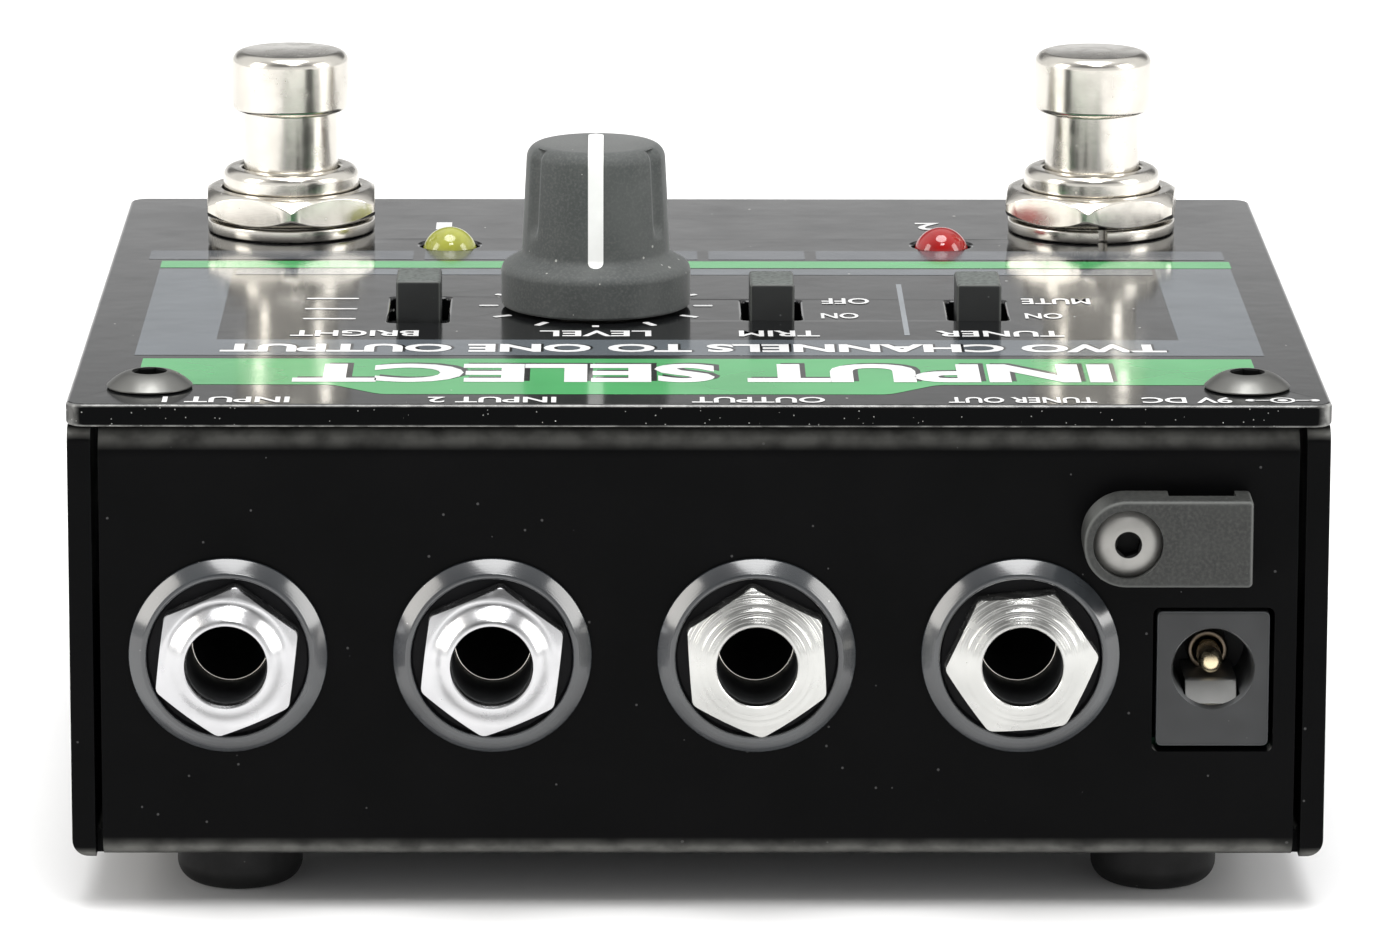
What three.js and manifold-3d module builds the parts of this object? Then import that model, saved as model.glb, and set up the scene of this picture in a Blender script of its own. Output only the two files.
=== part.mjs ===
// A two-footswitch instrument selector pedal in a folded steel box, with everything inside it.
// Millimetres. +X runs along the jack row, the jack panel faces -Y and +Z is up. The origin is
// under the middle of the bounding box, on the plane that the rubber feet stand on.
import * as THREE from "three";
import { mergeVertices } from "three/addons/utils/BufferGeometryUtils.js";
import Module from "manifold-3d";

// Enclosure
const LID_WIDTH = 102.6;
const LID_DEPTH = 91.5;
const LID_CORNER_RADIUS = 1.6;
const SHEET = 1.9;
const BODY_WIDTH = 102.4;
const BODY_HEIGHT = 36.15;
const BEND_RADIUS = 2.5;
const PANEL_SETBACK = 0.6; // panel face behind the lid's edge
const PANEL_WIDTH = 97.4;
const FRONT_FLANGE = 10.6;
const BACK_FLANGE = 6;
const WALL_CORNER_RADIUS = 1.3;
const FIT = 0.15; // gap between faces that touch on the real object

// Feet
const FOOT_RADIUS = 5.2;
const FOOT_HEIGHT = 4.5;
const FOOT_EDGE_RADIUS = 2.7;
const FOOT_X = 38;
const FOOT_INSET = 11; // centre behind the panel face

// Jack row: quarter-inch sockets, all at one height
const JACK_PITCH = 21.5;
const FIRST_JACK_X = -38.3;
const JACK_DROP = 20.9; // below the lid's top
const JACK_BORE = 6.5;
const BUSHING_RADIUS = 4.65;
const JACK_HOUSING = { width: 15.4, depth: 24.4, height: 14.4 };
const JACK_NUT = { acrossFlats: 11, thickness: 3.7, lip: 1.1 };
const JACK_WASHER = { outer: 8.1, edge: 0.45, crest: 6.95, dish: 6.5, rim: 1.4, floor: 0.6 };
const JACK_NAMES = ["input_1", "input_2", "output", "tuner"];
const JACK_NUT_TURNS = [7, 7, -4, 25]; // degrees clockwise, as tightened

// Power inlet and cable clamp
const DC_X = 41.95;
const DC_DROP = 23; // middle of the block, below the lid's top
const DC_FACE = { width: 9.2, height: 11.3, depth: 14.5, recess: 0.3 };
const DC_CUTOUT = { width: 9.9, height: 12.1, radius: 0.6 };
const DC_HOLE = { radius: 3.25, depth: 9.5, rise: 0.85 };
const CLAMP = { x: 37.85, drop: 10.7, width: 13.7, height: 7.2, reach: 4.5 };
const CLAMP_TUNNEL = { x: 40.65, width: 5.45, depth: 2.4 };
const CLAMP_SCREW = { x: 34.6, head: 2.8, rise: 1.5, shank: 1.45, length: 8.5, socket: 2 };

// Places on the lid, measured back from its front edge
const FOOTSWITCH_X = 36;
const FOOTSWITCH_BACK = 76.5;
const FOOTSWITCH_TRAVEL = 2.5;
const KNOB = { x: -8.5, back: 40.9 };
const LED = { radius: 2.45, rise: 1.6, back: 68.8 };
const LED_PLACES = { led_yellow: -21.6, led_red: 22.2 };
const LID_SCREW = { x: 44.8, back: 6.9, head: 3.5, rise: 1.35, shank: 1.5, length: 8, socket: 2.4 };
const SLIDER_HANDLE = { width: 3.8, length: 6.1, rise: 3.1 };
const SLIDER_TRAVEL = 2.4; // from one detent to the next
const SLOT_CLEARANCE = 0.1; // at each end of a handle's travel
const SLOT_WIDTH = 5;
// steps is the number of detents past the first, and rest counts steps from the front end
const SLIDERS = {
  bright: { x: -23.6, back: 39.2, steps: 2, rest: 1 },
  trim: { x: 6.5, back: 39.15, steps: 1, rest: 0 },
  tuner: { x: 24.1, back: 39.15, steps: 1, rest: 0 },
};

// Driven places
const JACK_NUT_FRONT = JACK_WASHER.floor + 0.1 + JACK_NUT.thickness;
const FRONT_REACH = CLAMP.reach - PANEL_SETBACK;
const LID_FRONT = FRONT_REACH - (LID_DEPTH + FRONT_REACH) / 2;
const PANEL_Y = LID_FRONT + PANEL_SETBACK;
const BACK_Y = LID_FRONT + LID_DEPTH - PANEL_SETBACK;
const FLOOR_Z = FOOT_HEIGHT;
const FLANGE_Z = FLOOR_Z + BODY_HEIGHT;
const LID_BOTTOM = FLANGE_Z + FIT;
const LID_TOP = LID_BOTTOM + SHEET;
const JACK_Z = LID_TOP - JACK_DROP;
const CONTROL_BOARD = { top: LID_TOP - 12.2, thickness: 1.6 };
const JACK_BOARD = { top: LID_TOP - DC_DROP - DC_FACE.height / 2 - FIT, thickness: 1.6 };

const FINE = 20; // segments round a large circle
const COARSE = 12; // segments round a small one

const wasm = await Module();
wasm.setup();

// ---- geometry helpers ----

function toSolid(geometry) {
  const plain = geometry.clone();
  plain.deleteAttribute("normal");
  plain.deleteAttribute("uv");
  const merged = mergeVertices(plain, 1e-4);
  return new wasm.Manifold(
    new wasm.Mesh({
      numProp: 3,
      vertProperties: new Float32Array(merged.attributes.position.array),
      triVerts: new Uint32Array(merged.index.array),
    }),
  );
}

function toGeometry(solid) {
  const mesh = solid.getMesh();
  const geometry = new THREE.BufferGeometry();
  geometry.setAttribute("position", new THREE.BufferAttribute(mesh.vertProperties, 3));
  geometry.setIndex(new THREE.BufferAttribute(mesh.triVerts, 1));
  geometry.computeVertexNormals();
  return geometry;
}

function join(first, ...others) {
  return toGeometry(others.reduce((sum, g) => sum.add(toSolid(g)), toSolid(first)));
}

function cut(first, ...tools) {
  return toGeometry(tools.reduce((rest, g) => rest.subtract(toSolid(g)), toSolid(first)));
}

function common(a, b) {
  return toGeometry(toSolid(a).intersect(toSolid(b)));
}

// A box given by its lowest and highest corner.
function block([x0, y0, z0], [x1, y1, z1]) {
  const box = new THREE.BoxGeometry(x1 - x0, y1 - y0, z1 - z0);
  return box.translate((x0 + x1) / 2, (y0 + y1) / 2, (z0 + z1) / 2);
}

// A solid of revolution about Z. The profile is [radius, z] points, anticlockwise and closed.
function turned(profile, segments = FINE) {
  const points = profile.map(([radius, z]) => new THREE.Vector2(radius, z));
  points.push(points[0].clone());
  return new THREE.LatheGeometry(points, segments).rotateX(Math.PI / 2);
}

// The same, about the Y axis, with its second coordinate running outward from the panel to -Y.
function turnedOutward(profile, segments = FINE) {
  return turned(profile, segments).rotateX(Math.PI / 2);
}

function rod(radius, from, to, segments = COARSE) {
  return turned([[0, from], [radius, from], [radius, to], [0, to]], segments);
}

// Points on an arc about (r, z), for use in a profile.
function arc(r, z, radius, fromDegrees, toDegrees, steps) {
  return Array.from({ length: steps + 1 }, (_, i) => {
    const angle = THREE.MathUtils.degToRad(fromDegrees + ((toDegrees - fromDegrees) * i) / steps);
    return [r + radius * Math.cos(angle), z + radius * Math.sin(angle)];
  });
}

function outline(points) {
  return new THREE.Shape(points.map(([x, y]) => new THREE.Vector2(x, y)));
}

function roundedRectangle(width, height, radius, x = 0, y = 0, steps = 3) {
  const w = width / 2 - radius;
  const h = height / 2 - radius;
  return outline([
    ...arc(x + w, y - h, radius, -90, 0, steps),
    ...arc(x + w, y + h, radius, 0, 90, steps),
    ...arc(x - w, y + h, radius, 90, 180, steps),
    ...arc(x - w, y - h, radius, 180, 270, steps),
  ]);
}

function hexagon(acrossFlats) {
  return outline(arc(0, 0, acrossFlats / Math.sqrt(3), 0, 300, 5));
}

function circle(radius, x, y, steps = COARSE) {
  return outline(arc(x, y, radius, 0, 360 - 360 / steps, steps - 1));
}

// An outline in X and Y, extruded up between two heights.
function raised(shape, from, to) {
  const depth = to - from;
  return new THREE.ExtrudeGeometry(shape, { depth, bevelEnabled: false }).translate(0, 0, from);
}

// An outline in Y and Z, extruded along X between two places.
function alongX(shape, from, to) {
  const turn = new THREE.Matrix4().makeBasis(
    new THREE.Vector3(0, 1, 0),
    new THREE.Vector3(0, 0, 1),
    new THREE.Vector3(1, 0, 0),
  );
  return raised(shape, from, to).applyMatrix4(turn);
}

// An outline in X and Z, extruded outward from one distance off the panel to another.
function outward(shape, from, to) {
  return raised(shape, from, to).rotateX(Math.PI / 2);
}

// A strip of one thickness that follows [y, z] points, extruded along X.
function strip(points, thickness, width) {
  const half = thickness / 2;
  const side = (sign) =>
    points.map(([y, z], i) => {
      const [y0, z0] = points[Math.max(i - 1, 0)];
      const [y1, z1] = points[Math.min(i + 1, points.length - 1)];
      const length = Math.hypot(y1 - y0, z1 - z0);
      return [y - (sign * half * (z1 - z0)) / length, z + (sign * half * (y1 - y0)) / length];
    });
  return alongX(outline([...side(-1), ...side(1).reverse()]), -width / 2, width / 2);
}

function chamferedHex(acrossFlats, from, to, chamfer) {
  const corner = acrossFlats / Math.sqrt(3);
  const flat = acrossFlats / 2;
  const bounds = turned(
    [
      [0, from],
      [corner + 0.05, from],
      [corner + 0.05, to - chamfer],
      [flat, to],
      [0, to],
    ],
    FINE,
  );
  return common(raised(hexagon(acrossFlats), from, to), bounds);
}

// ---- materials ----

function finish(color, roughness, metalness) {
  return new THREE.MeshStandardMaterial({ color, roughness, metalness });
}

const powderCoat = finish(0x121314, 0.45, 0);
const glossPaint = finish(0x1a1b1c, 0.2, 0);
const nickel = finish(0xd9d4c6, 0.15, 1);
const chrome = finish(0xdadde0, 0.08, 1);
const zincScrew = finish(0x9a9a95, 0.35, 1);
const darkNylon = finish(0x3a3c3e, 0.3, 0);
const mouldedBlack = finish(0x2a2b2c, 0.55, 0);
const softTouch = finish(0x4a4d4d, 0.8, 0);
const rubber = finish(0x1c1c1c, 0.85, 0);
const white = finish(0xf4f4f0, 0.4, 0);
const yellowLens = finish(0xb9b52a, 0.15, 0);
const redLens = finish(0xb51f22, 0.15, 0);
const brass = finish(0xc9a24c, 0.3, 1);
const springSteel = finish(0xb9bcc0, 0.3, 1);
const boardGreen = finish(0x1f5a34, 0.5, 0);
const ribbonGrey = finish(0x8f9296, 0.6, 0);

const model = new THREE.Group();

function add(parent, name, geometry, material, place = [0, 0, 0]) {
  const mesh = new THREE.Mesh(geometry, material);
  mesh.name = name;
  mesh.position.set(...place);
  parent.add(mesh);
  return mesh;
}

function groupAt(x, y, z) {
  const group = new THREE.Group();
  group.position.set(x, y, z);
  model.add(group);
  return group;
}

// ---- chassis tray: one sheet folded into a floor and four walls ----

// Front wall, floor and back wall with their flanges turned in under the lid.
function foldedSpine() {
  const bend = BEND_RADIUS;
  const inner = BEND_RADIUS - SHEET;
  const section = outline([
    ...arc(BACK_Y - bend, FLOOR_Z + bend, bend, -90, 0, 3),
    ...arc(BACK_Y - bend, FLANGE_Z - bend, bend, 0, 90, 3),
    [BACK_Y - BACK_FLANGE, FLANGE_Z],
    [BACK_Y - BACK_FLANGE, FLANGE_Z - SHEET],
    ...arc(BACK_Y - bend, FLANGE_Z - bend, inner, 90, 0, 1),
    ...arc(BACK_Y - bend, FLOOR_Z + bend, inner, 0, -90, 1),
    ...arc(PANEL_Y + bend, FLOOR_Z + bend, inner, 270, 180, 1),
    ...arc(PANEL_Y + bend, FLANGE_Z - bend, inner, 180, 90, 1),
    [PANEL_Y + FRONT_FLANGE, FLANGE_Z - SHEET],
    [PANEL_Y + FRONT_FLANGE, FLANGE_Z],
    ...arc(PANEL_Y + bend, FLANGE_Z - bend, bend, 90, 180, 3),
    ...arc(PANEL_Y + bend, FLOOR_Z + bend, bend, 180, 270, 3),
  ]);
  return alongX(section, -PANEL_WIDTH / 2, PANEL_WIDTH / 2);
}

// Both side walls and the floor between them, cleared where the front and back walls stand.
function sideWalls() {
  const edge = BODY_WIDTH / 2;
  const bend = BEND_RADIUS;
  const inner = BEND_RADIUS - SHEET;
  const section = outline([
    ...arc(edge - bend, FLOOR_Z + bend, bend, -90, 0, 3),
    [edge, FLANGE_Z],
    [edge - SHEET, FLANGE_Z],
    ...arc(edge - bend, FLOOR_Z + bend, inner, 0, -90, 1),
    ...arc(bend - edge, FLOOR_Z + bend, inner, 270, 180, 1),
    [SHEET - edge, FLANGE_Z],
    [-edge, FLANGE_Z],
    ...arc(bend - edge, FLOOR_Z + bend, bend, 180, 270, 3),
  ]);
  const side = roundedRectangle(
    BACK_Y - PANEL_Y,
    BODY_HEIGHT,
    WALL_CORNER_RADIUS,
    (BACK_Y + PANEL_Y) / 2,
    FLOOR_Z + BODY_HEIGHT / 2,
    2,
  );
  const walls = common(outward(section, -BACK_Y, -PANEL_Y), alongX(side, -edge, edge));
  const clear = edge - SHEET;
  return cut(
    walls,
    block([-clear, PANEL_Y - 1, 0], [clear, PANEL_Y + bend, LID_TOP]),
    block([-clear, BACK_Y - bend, 0], [clear, BACK_Y + 1, LID_TOP]),
  );
}

function clinchNut(x) {
  const underside = FLANGE_Z - SHEET;
  const nut = rod(3.2, underside - 2.6, underside + 0.2);
  return nut.translate(x, LID_FRONT + LID_SCREW.back, 0);
}

function chassis() {
  const shell = join(
    foldedSpine(),
    sideWalls(),
    clinchNut(-LID_SCREW.x),
    clinchNut(LID_SCREW.x),
  );
  const throughPanel = (shape) => outward(shape, -PANEL_Y - SHEET - 1, -PANEL_Y + 1);
  const jackHoles = JACK_NAMES.map((_, i) =>
    throughPanel(circle(BUSHING_RADIUS + 0.25, FIRST_JACK_X + i * JACK_PITCH, JACK_Z, FINE)),
  );
  const dcHole = throughPanel(
    roundedRectangle(
      DC_CUTOUT.width,
      DC_CUTOUT.height,
      DC_CUTOUT.radius,
      DC_X,
      LID_TOP - DC_DROP,
      3,
    ),
  );
  const clampHole = throughPanel(circle(1.65, CLAMP_SCREW.x, LID_TOP - CLAMP.drop));
  const screwHoles = [-1, 1].map((side) =>
    rod(LID_SCREW.shank + FIT, FLANGE_Z - 8, FLANGE_Z + 1).translate(
      side * LID_SCREW.x,
      LID_FRONT + LID_SCREW.back,
      0,
    ),
  );
  return cut(shell, ...jackHoles, dcHole, clampHole, ...screwHoles);
}

add(model, "chassis_tray", chassis(), powderCoat);

// ---- top cover: a flat plate with two hooks that reach under the back flange ----

function sliderSlotLength(slider) {
  return SLIDER_HANDLE.length + slider.steps * SLIDER_TRAVEL + 2 * SLOT_CLEARANCE;
}

function topCover() {
  const middle = LID_FRONT + LID_DEPTH / 2;
  const plate = roundedRectangle(LID_WIDTH, LID_DEPTH, LID_CORNER_RADIUS, 0, middle);
  for (const side of [-1, 1]) {
    plate.holes.push(
      circle(6.3, side * FOOTSWITCH_X, LID_FRONT + FOOTSWITCH_BACK, FINE),
      circle(LID_SCREW.shank + 0.2, side * LID_SCREW.x, LID_FRONT + LID_SCREW.back),
    );
  }
  plate.holes.push(circle(3.7, KNOB.x, LID_FRONT + KNOB.back, FINE));
  for (const x of Object.values(LED_PLACES)) {
    plate.holes.push(circle(LED.radius + FIT, x, LID_FRONT + LED.back, FINE));
  }
  for (const slider of Object.values(SLIDERS)) {
    const length = sliderSlotLength(slider);
    plate.holes.push(
      roundedRectangle(SLOT_WIDTH, length, 0.4, slider.x, LID_FRONT + slider.back, 2),
    );
  }
  const hookTop = FLANGE_Z - SHEET - 0.4;
  const hookFront = BACK_Y - BACK_FLANGE - 2.2;
  const hook = outline([
    [hookFront, hookTop - 1.6],
    [hookFront + 5.5, hookTop - 1.6],
    [hookFront + 5.5, hookTop],
    [hookFront + 1.6, hookTop],
    [hookFront + 1.6, LID_BOTTOM + 0.3],
    [hookFront, LID_BOTTOM + 0.3],
  ]);
  return join(
    raised(plate, LID_BOTTOM, LID_TOP),
    alongX(hook, -19, -9),
    alongX(hook, 9, 19),
  );
}

add(model, "top_cover", topCover(), glossPaint);

// A button-head screw standing on z = 0 with its shank below.
function buttonHeadScrew({ head, rise, shank, length, socket }) {
  const gap = 0.1;
  const screw = turned(
    [
      [0, -length],
      [shank, -length],
      [shank, gap],
      [head, gap],
      [head, gap + 0.25],
      [head * 0.85, rise * 0.68],
      [head * 0.5, rise],
      [0, rise],
    ],
    16,
  );
  return cut(screw, raised(hexagon(socket), rise * 0.35, rise + 1));
}

for (const [name, side] of [["left", -1], ["right", 1]]) {
  const screw = buttonHeadScrew(LID_SCREW);
  const place = [side * LID_SCREW.x, LID_FRONT + LID_SCREW.back, LID_TOP];
  add(model, `lid_screw_${name}`, screw, zincScrew, place);
}

// ---- rubber feet ----

function foot() {
  const round = arc(FOOT_RADIUS - FOOT_EDGE_RADIUS, FOOT_EDGE_RADIUS, FOOT_EDGE_RADIUS, -90, 0, 3);
  return turned([[0, 0], ...round, [FOOT_RADIUS, FOOT_HEIGHT - 0.1], [0, FOOT_HEIGHT - 0.1]]);
}

for (const [end, y] of [["front", PANEL_Y + FOOT_INSET], ["back", BACK_Y - FOOT_INSET]]) {
  add(model, `foot_${end}_left`, foot(), rubber, [-FOOT_X, y, 0]);
  add(model, `foot_${end}_right`, foot(), rubber, [FOOT_X, y, 0]);
}

// ---- quarter-inch jacks, each built about its own axis with y = 0 on the panel's face ----

function jackBody() {
  const { width, depth, height } = JACK_HOUSING;
  const start = SHEET + 0.2;
  const noseLength = JACK_NUT_FRONT - JACK_NUT.lip - 0.1;
  const housing = block([-width / 2, start, -height / 2], [width / 2, start + depth, height / 2]);
  const nose = turnedOutward(
    [
      [0, -start - 0.5],
      [BUSHING_RADIUS, -start - 0.5],
      [BUSHING_RADIUS, noseLength],
      [0, noseLength],
    ],
    FINE,
  );
  const bore = turnedOutward(
    [
      [0, -start - depth + 1.2],
      [JACK_BORE / 2, -start - depth + 1.2],
      [JACK_BORE / 2, noseLength + 1],
      [0, noseLength + 1],
    ],
    FINE,
  );
  const springPocket = block([-1.6, 9, 0], [1.6, start + depth - 1.2, 5.6]);
  return cut(join(housing, nose), bore, springPocket);
}

function jackContact() {
  const line = [[9.4, 4.9], [13, 4.7], [18, 3.7], [20.5, 2.75], [22, 3.2], [24.6, 4.6]];
  return strip(line, 0.4, 2.6);
}

function jackNut() {
  const { acrossFlats, lip, thickness } = JACK_NUT;
  const back = JACK_WASHER.floor + 0.1;
  const hex = chamferedHex(acrossFlats, back, back + thickness, 1.1);
  const thread = rod(BUSHING_RADIUS + FIT, back - 1, JACK_NUT_FRONT - lip, FINE);
  const mouth = rod(JACK_BORE / 2 + 0.05, back, JACK_NUT_FRONT + 1, FINE);
  return cut(hex, thread, mouth).rotateX(Math.PI / 2);
}

function jackWasher() {
  const { outer, edge, crest, dish, rim, floor } = JACK_WASHER;
  return turnedOutward(
    [
      [BUSHING_RADIUS + FIT, 0.05],
      [outer, 0.05],
      [outer, edge],
      [crest, rim],
      [dish, rim],
      [dish, floor],
      [BUSHING_RADIUS + FIT, floor],
    ],
    FINE,
  );
}

JACK_NAMES.forEach((name, i) => {
  const jack = groupAt(FIRST_JACK_X + i * JACK_PITCH, PANEL_Y, JACK_Z);
  add(jack, `jack_${name}`, jackBody(), mouldedBlack);
  add(jack, `jack_contact_${name}`, jackContact(), springSteel);
  add(jack, `jack_washer_${name}`, jackWasher(), darkNylon);
  const nut = add(jack, `jack_nut_${name}`, jackNut(), chrome);
  nut.rotation.y = THREE.MathUtils.degToRad(JACK_NUT_TURNS[i] + 30);
});

// ---- power inlet: a black block with a round socket, a centre pin and a leaf contact ----

const dcInlet = groupAt(DC_X, PANEL_Y, LID_TOP - DC_DROP);

function dcHousing() {
  const { width, height, depth, recess } = DC_FACE;
  const body = outward(roundedRectangle(width, height, 0.5, 0, 0, 2), -recess - depth, -recess);
  const hole = turnedOutward(
    [
      [0, -recess - DC_HOLE.depth],
      [DC_HOLE.radius, -recess - DC_HOLE.depth],
      [DC_HOLE.radius, 1],
      [0, 1],
    ],
    FINE,
  );
  const leafPocket = block([-2.3, recess + 0.8, -4], [2.3, recess + DC_HOLE.depth, 0]);
  const socket = [hole, leafPocket].map((tool) => tool.translate(0, 0, DC_HOLE.rise));
  return cut(body, ...socket);
}

function dcPin() {
  const tip = DC_FACE.recess + 2;
  const base = DC_FACE.recess + DC_HOLE.depth - 0.1;
  return turnedOutward([[0, -base], [1, -base], ...arc(0, -tip - 1, 1, 0, 90, 3)], COARSE);
}

add(dcInlet, "dc_inlet", dcHousing(), mouldedBlack);
add(dcInlet, "dc_pin", dcPin(), brass, [0, 0, DC_HOLE.rise]);
const leafLine = [[1.3, -3.6], [2.2, -3.4], [6.2, -1.8], [9.4, -1.6]];
add(dcInlet, "dc_contact", strip(leafLine, 0.3, 4.2), springSteel, [0, 0, DC_HOLE.rise]);

// ---- cable clamp beside the power inlet ----

const clampPlace = groupAt(0, PANEL_Y, LID_TOP - CLAMP.drop);

function clampBody() {
  const radius = CLAMP.height / 2;
  const left = CLAMP.x - CLAMP.width / 2;
  const right = CLAMP.x + CLAMP.width / 2;
  const front = outline([
    ...arc(left + radius, 0, radius, 90, 270, 10),
    ...arc(right - 0.4, 0.4 - radius, 0.4, -90, 0, 2),
    ...arc(right - 0.4, radius - 0.4, 0.4, 0, 90, 2),
  ]);
  const tunnelLeft = CLAMP_TUNNEL.x - CLAMP_TUNNEL.width / 2;
  const tunnel = block(
    [tunnelLeft, -CLAMP_TUNNEL.depth, -CLAMP.height],
    [tunnelLeft + CLAMP_TUNNEL.width, 1, CLAMP.height],
  );
  const screwHole = outward(circle(1.7, CLAMP_SCREW.x, 0), -1, CLAMP.reach + 1);
  // The screw's head stands in a counterbore, so the clamp's own face stays frontmost.
  const seat = CLAMP.reach - CLAMP_SCREW.rise - 0.1;
  const counterbore = outward(circle(3, CLAMP_SCREW.x, 0, FINE), seat, CLAMP.reach + 1);
  return cut(outward(front, 0.1, CLAMP.reach), tunnel, screwHole, counterbore);
}

add(clampPlace, "cable_clamp", clampBody(), mouldedBlack);
const clampScrewPlace = [CLAMP_SCREW.x, CLAMP_SCREW.rise - CLAMP.reach, 0];
const clampScrew = buttonHeadScrew(CLAMP_SCREW).rotateX(Math.PI / 2);
add(clampPlace, "clamp_screw", clampScrew, zincScrew, clampScrewPlace);

// ---- footswitches, each built with z = 0 on the lid's top ----

const FOOTSWITCH = {
  washer: { outer: 7.5, top: 1.15 },
  nut: { acrossFlats: 15, from: 1.25, to: 3.95 },
  jamNut: { from: -SHEET - 2.6, to: -SHEET - 0.15 },
  bushing: { outer: 6.08, bore: 4.45, top: 5.8, edge: 1.6 },
  frame: { side: 16.6, from: -9.2, to: -7.4 },
  casing: { side: 17.2, depth: 13.4, well: 4.4, wellDepth: 5.5 },
  cap: { radius: 5.22, from: 10.9, to: 16.3 },
  shaft: { radius: 4.22, from: -1 },
  stem: { radius: 1.8, from: -9.4 },
};

function lockWasher() {
  const { outer, top } = FOOTSWITCH.washer;
  const inner = FOOTSWITCH.bushing.outer + FIT;
  const ring = turned([[inner, 0.05], [outer, 0.05], [outer, top], [inner, top]]);
  return cut(ring, block([-0.35, -outer - 1, -1], [0.35, -inner + 1, 3]));
}

function bushingNut(from, to, acrossFlats) {
  const hole = rod(FOOTSWITCH.bushing.outer + FIT, from - 1, to + 1, FINE);
  return cut(chamferedHex(acrossFlats, from, to, 0.8), hole);
}

function footswitchBushing() {
  const { outer, bore, top, edge } = FOOTSWITCH.bushing;
  const { side, from, to } = FOOTSWITCH.frame;
  const tube = turned([
    [bore, from],
    [outer, from],
    ...arc(outer - edge, top - edge, edge, 0, 80, 2),
    [bore, top],
  ]);
  const frame = cut(raised(roundedRectangle(side, side, 1), from, to), rod(5.2, from - 1, to + 1));
  return join(tube, frame);
}

function footswitchCasing() {
  const { side, depth, well, wellDepth } = FOOTSWITCH.casing;
  const top = FOOTSWITCH.frame.from - FIT;
  const casing = raised(roundedRectangle(side, side, 0.8), top - depth, top);
  const lugs = [-5, 0, 5].flatMap((x) =>
    [-5, 0, 5].map((y) =>
      block([x - 1, y - 0.4, top - depth - 3.2], [x + 1, y + 0.4, top - depth + 0.5]),
    ),
  );
  return cut(join(casing, ...lugs), rod(well, top - wellDepth, top + 1));
}

function plunger() {
  const { cap, shaft, stem } = FOOTSWITCH;
  return turned([
    [0, stem.from],
    [stem.radius, stem.from],
    [stem.radius, shaft.from],
    [shaft.radius, shaft.from],
    [shaft.radius, cap.from],
    ...arc(cap.radius - 0.6, cap.from + 0.6, 0.6, -90, 0, 1),
    ...arc(cap.radius - 0.6, cap.to - 0.6, 0.6, 0, 90, 2),
    [0, cap.to],
  ]);
}

function returnSpring() {
  const turns = 5;
  const wire = 0.35;
  const radius = 2.9;
  const bottom = FOOTSWITCH.frame.from - FOOTSWITCH.casing.wellDepth + 0.6;
  const rise = FOOTSWITCH.shaft.from - 0.6 - bottom;
  const helix = new THREE.Curve();
  helix.getPoint = (t) => {
    const angle = 2 * Math.PI * turns * t;
    return new THREE.Vector3(radius * Math.cos(angle), radius * Math.sin(angle), bottom + rise * t);
  };
  return new THREE.ExtrudeGeometry(circle(wire, 0, 0, 5), {
    steps: turns * 9,
    bevelEnabled: false,
    extrudePath: helix,
  });
}

for (const [side, x, nutTurn] of [["left", -FOOTSWITCH_X, 4], ["right", FOOTSWITCH_X, -6]]) {
  const { nut, jamNut } = FOOTSWITCH;
  const place = groupAt(x, LID_FRONT + FOOTSWITCH_BACK, LID_TOP);
  add(place, `footswitch_button_${side}`, plunger(), nickel);
  add(place, `footswitch_bushing_${side}`, footswitchBushing(), nickel);
  add(place, `footswitch_casing_${side}`, footswitchCasing(), mouldedBlack);
  add(place, `footswitch_spring_${side}`, returnSpring(), springSteel);
  const outerNut = bushingNut(nut.from, nut.to, nut.acrossFlats);
  const innerNut = bushingNut(jamNut.from, jamNut.to, nut.acrossFlats);
  const fastener = add(place, `footswitch_nut_${side}`, outerNut, nickel);
  fastener.rotation.z = THREE.MathUtils.degToRad(30 + nutTurn);
  add(place, `footswitch_jam_nut_${side}`, innerNut, nickel);
  const washer = add(place, `footswitch_washer_${side}`, lockWasher(), nickel);
  washer.rotation.z = THREE.MathUtils.degToRad(side === "right" ? 5 : 150);
}

// ---- level control: potentiometer, its nut, and the knob with an inlaid pointer ----

const POT = {
  caseRadius: 8.2,
  caseFrom: -11.6,
  caseTo: -5.2,
  bushing: 3.45,
  bushingTop: 2.9,
  shaft: 3,
  shaftFrom: -9,
  shaftTop: 12,
};
const KNOB_BODY = {
  gap: 0.3,
  skirt: 8.1,
  skirtTop: 3.7,
  waist: 6.3,
  waistHeight: 5.1,
  crown: 5.85,
  height: 14.3,
  edge: 0.9,
  recess: 6.2,
  recessTop: 3.2,
};
const POINTER = { width: 1.3, depth: 0.45, start: 3 };
const level = groupAt(KNOB.x, LID_FRONT + KNOB.back, LID_TOP);

function potentiometer() {
  const body = turned([
    [0, POT.caseFrom],
    [POT.caseRadius, POT.caseFrom],
    [POT.caseRadius, POT.caseTo],
    [POT.bushing, POT.caseTo],
    [POT.bushing, POT.bushingTop],
    [0, POT.bushingTop],
  ]);
  const terminals = [-5, 0, 5].map((x) => block([x - 0.8, -11.5, -9.4], [x + 0.8, -4, -8.6]));
  const shaftHole = rod(POT.shaft + FIT, POT.shaftFrom - FIT, POT.bushingTop + 1);
  return cut(join(body, ...terminals), shaftHole);
}

function knobOuter(grow) {
  const { gap, skirt, skirtTop, waist, waistHeight, crown, height, edge } = KNOB_BODY;
  return turned(
    [
      [0, gap - grow],
      [skirt + grow, gap - grow],
      [skirt + grow, skirtTop],
      [waist + grow, waistHeight + grow],
      ...arc(crown - edge, height - edge, edge + grow, 3, 90, 2),
      [0, height + grow],
    ],
    FINE,
  );
}

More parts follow.
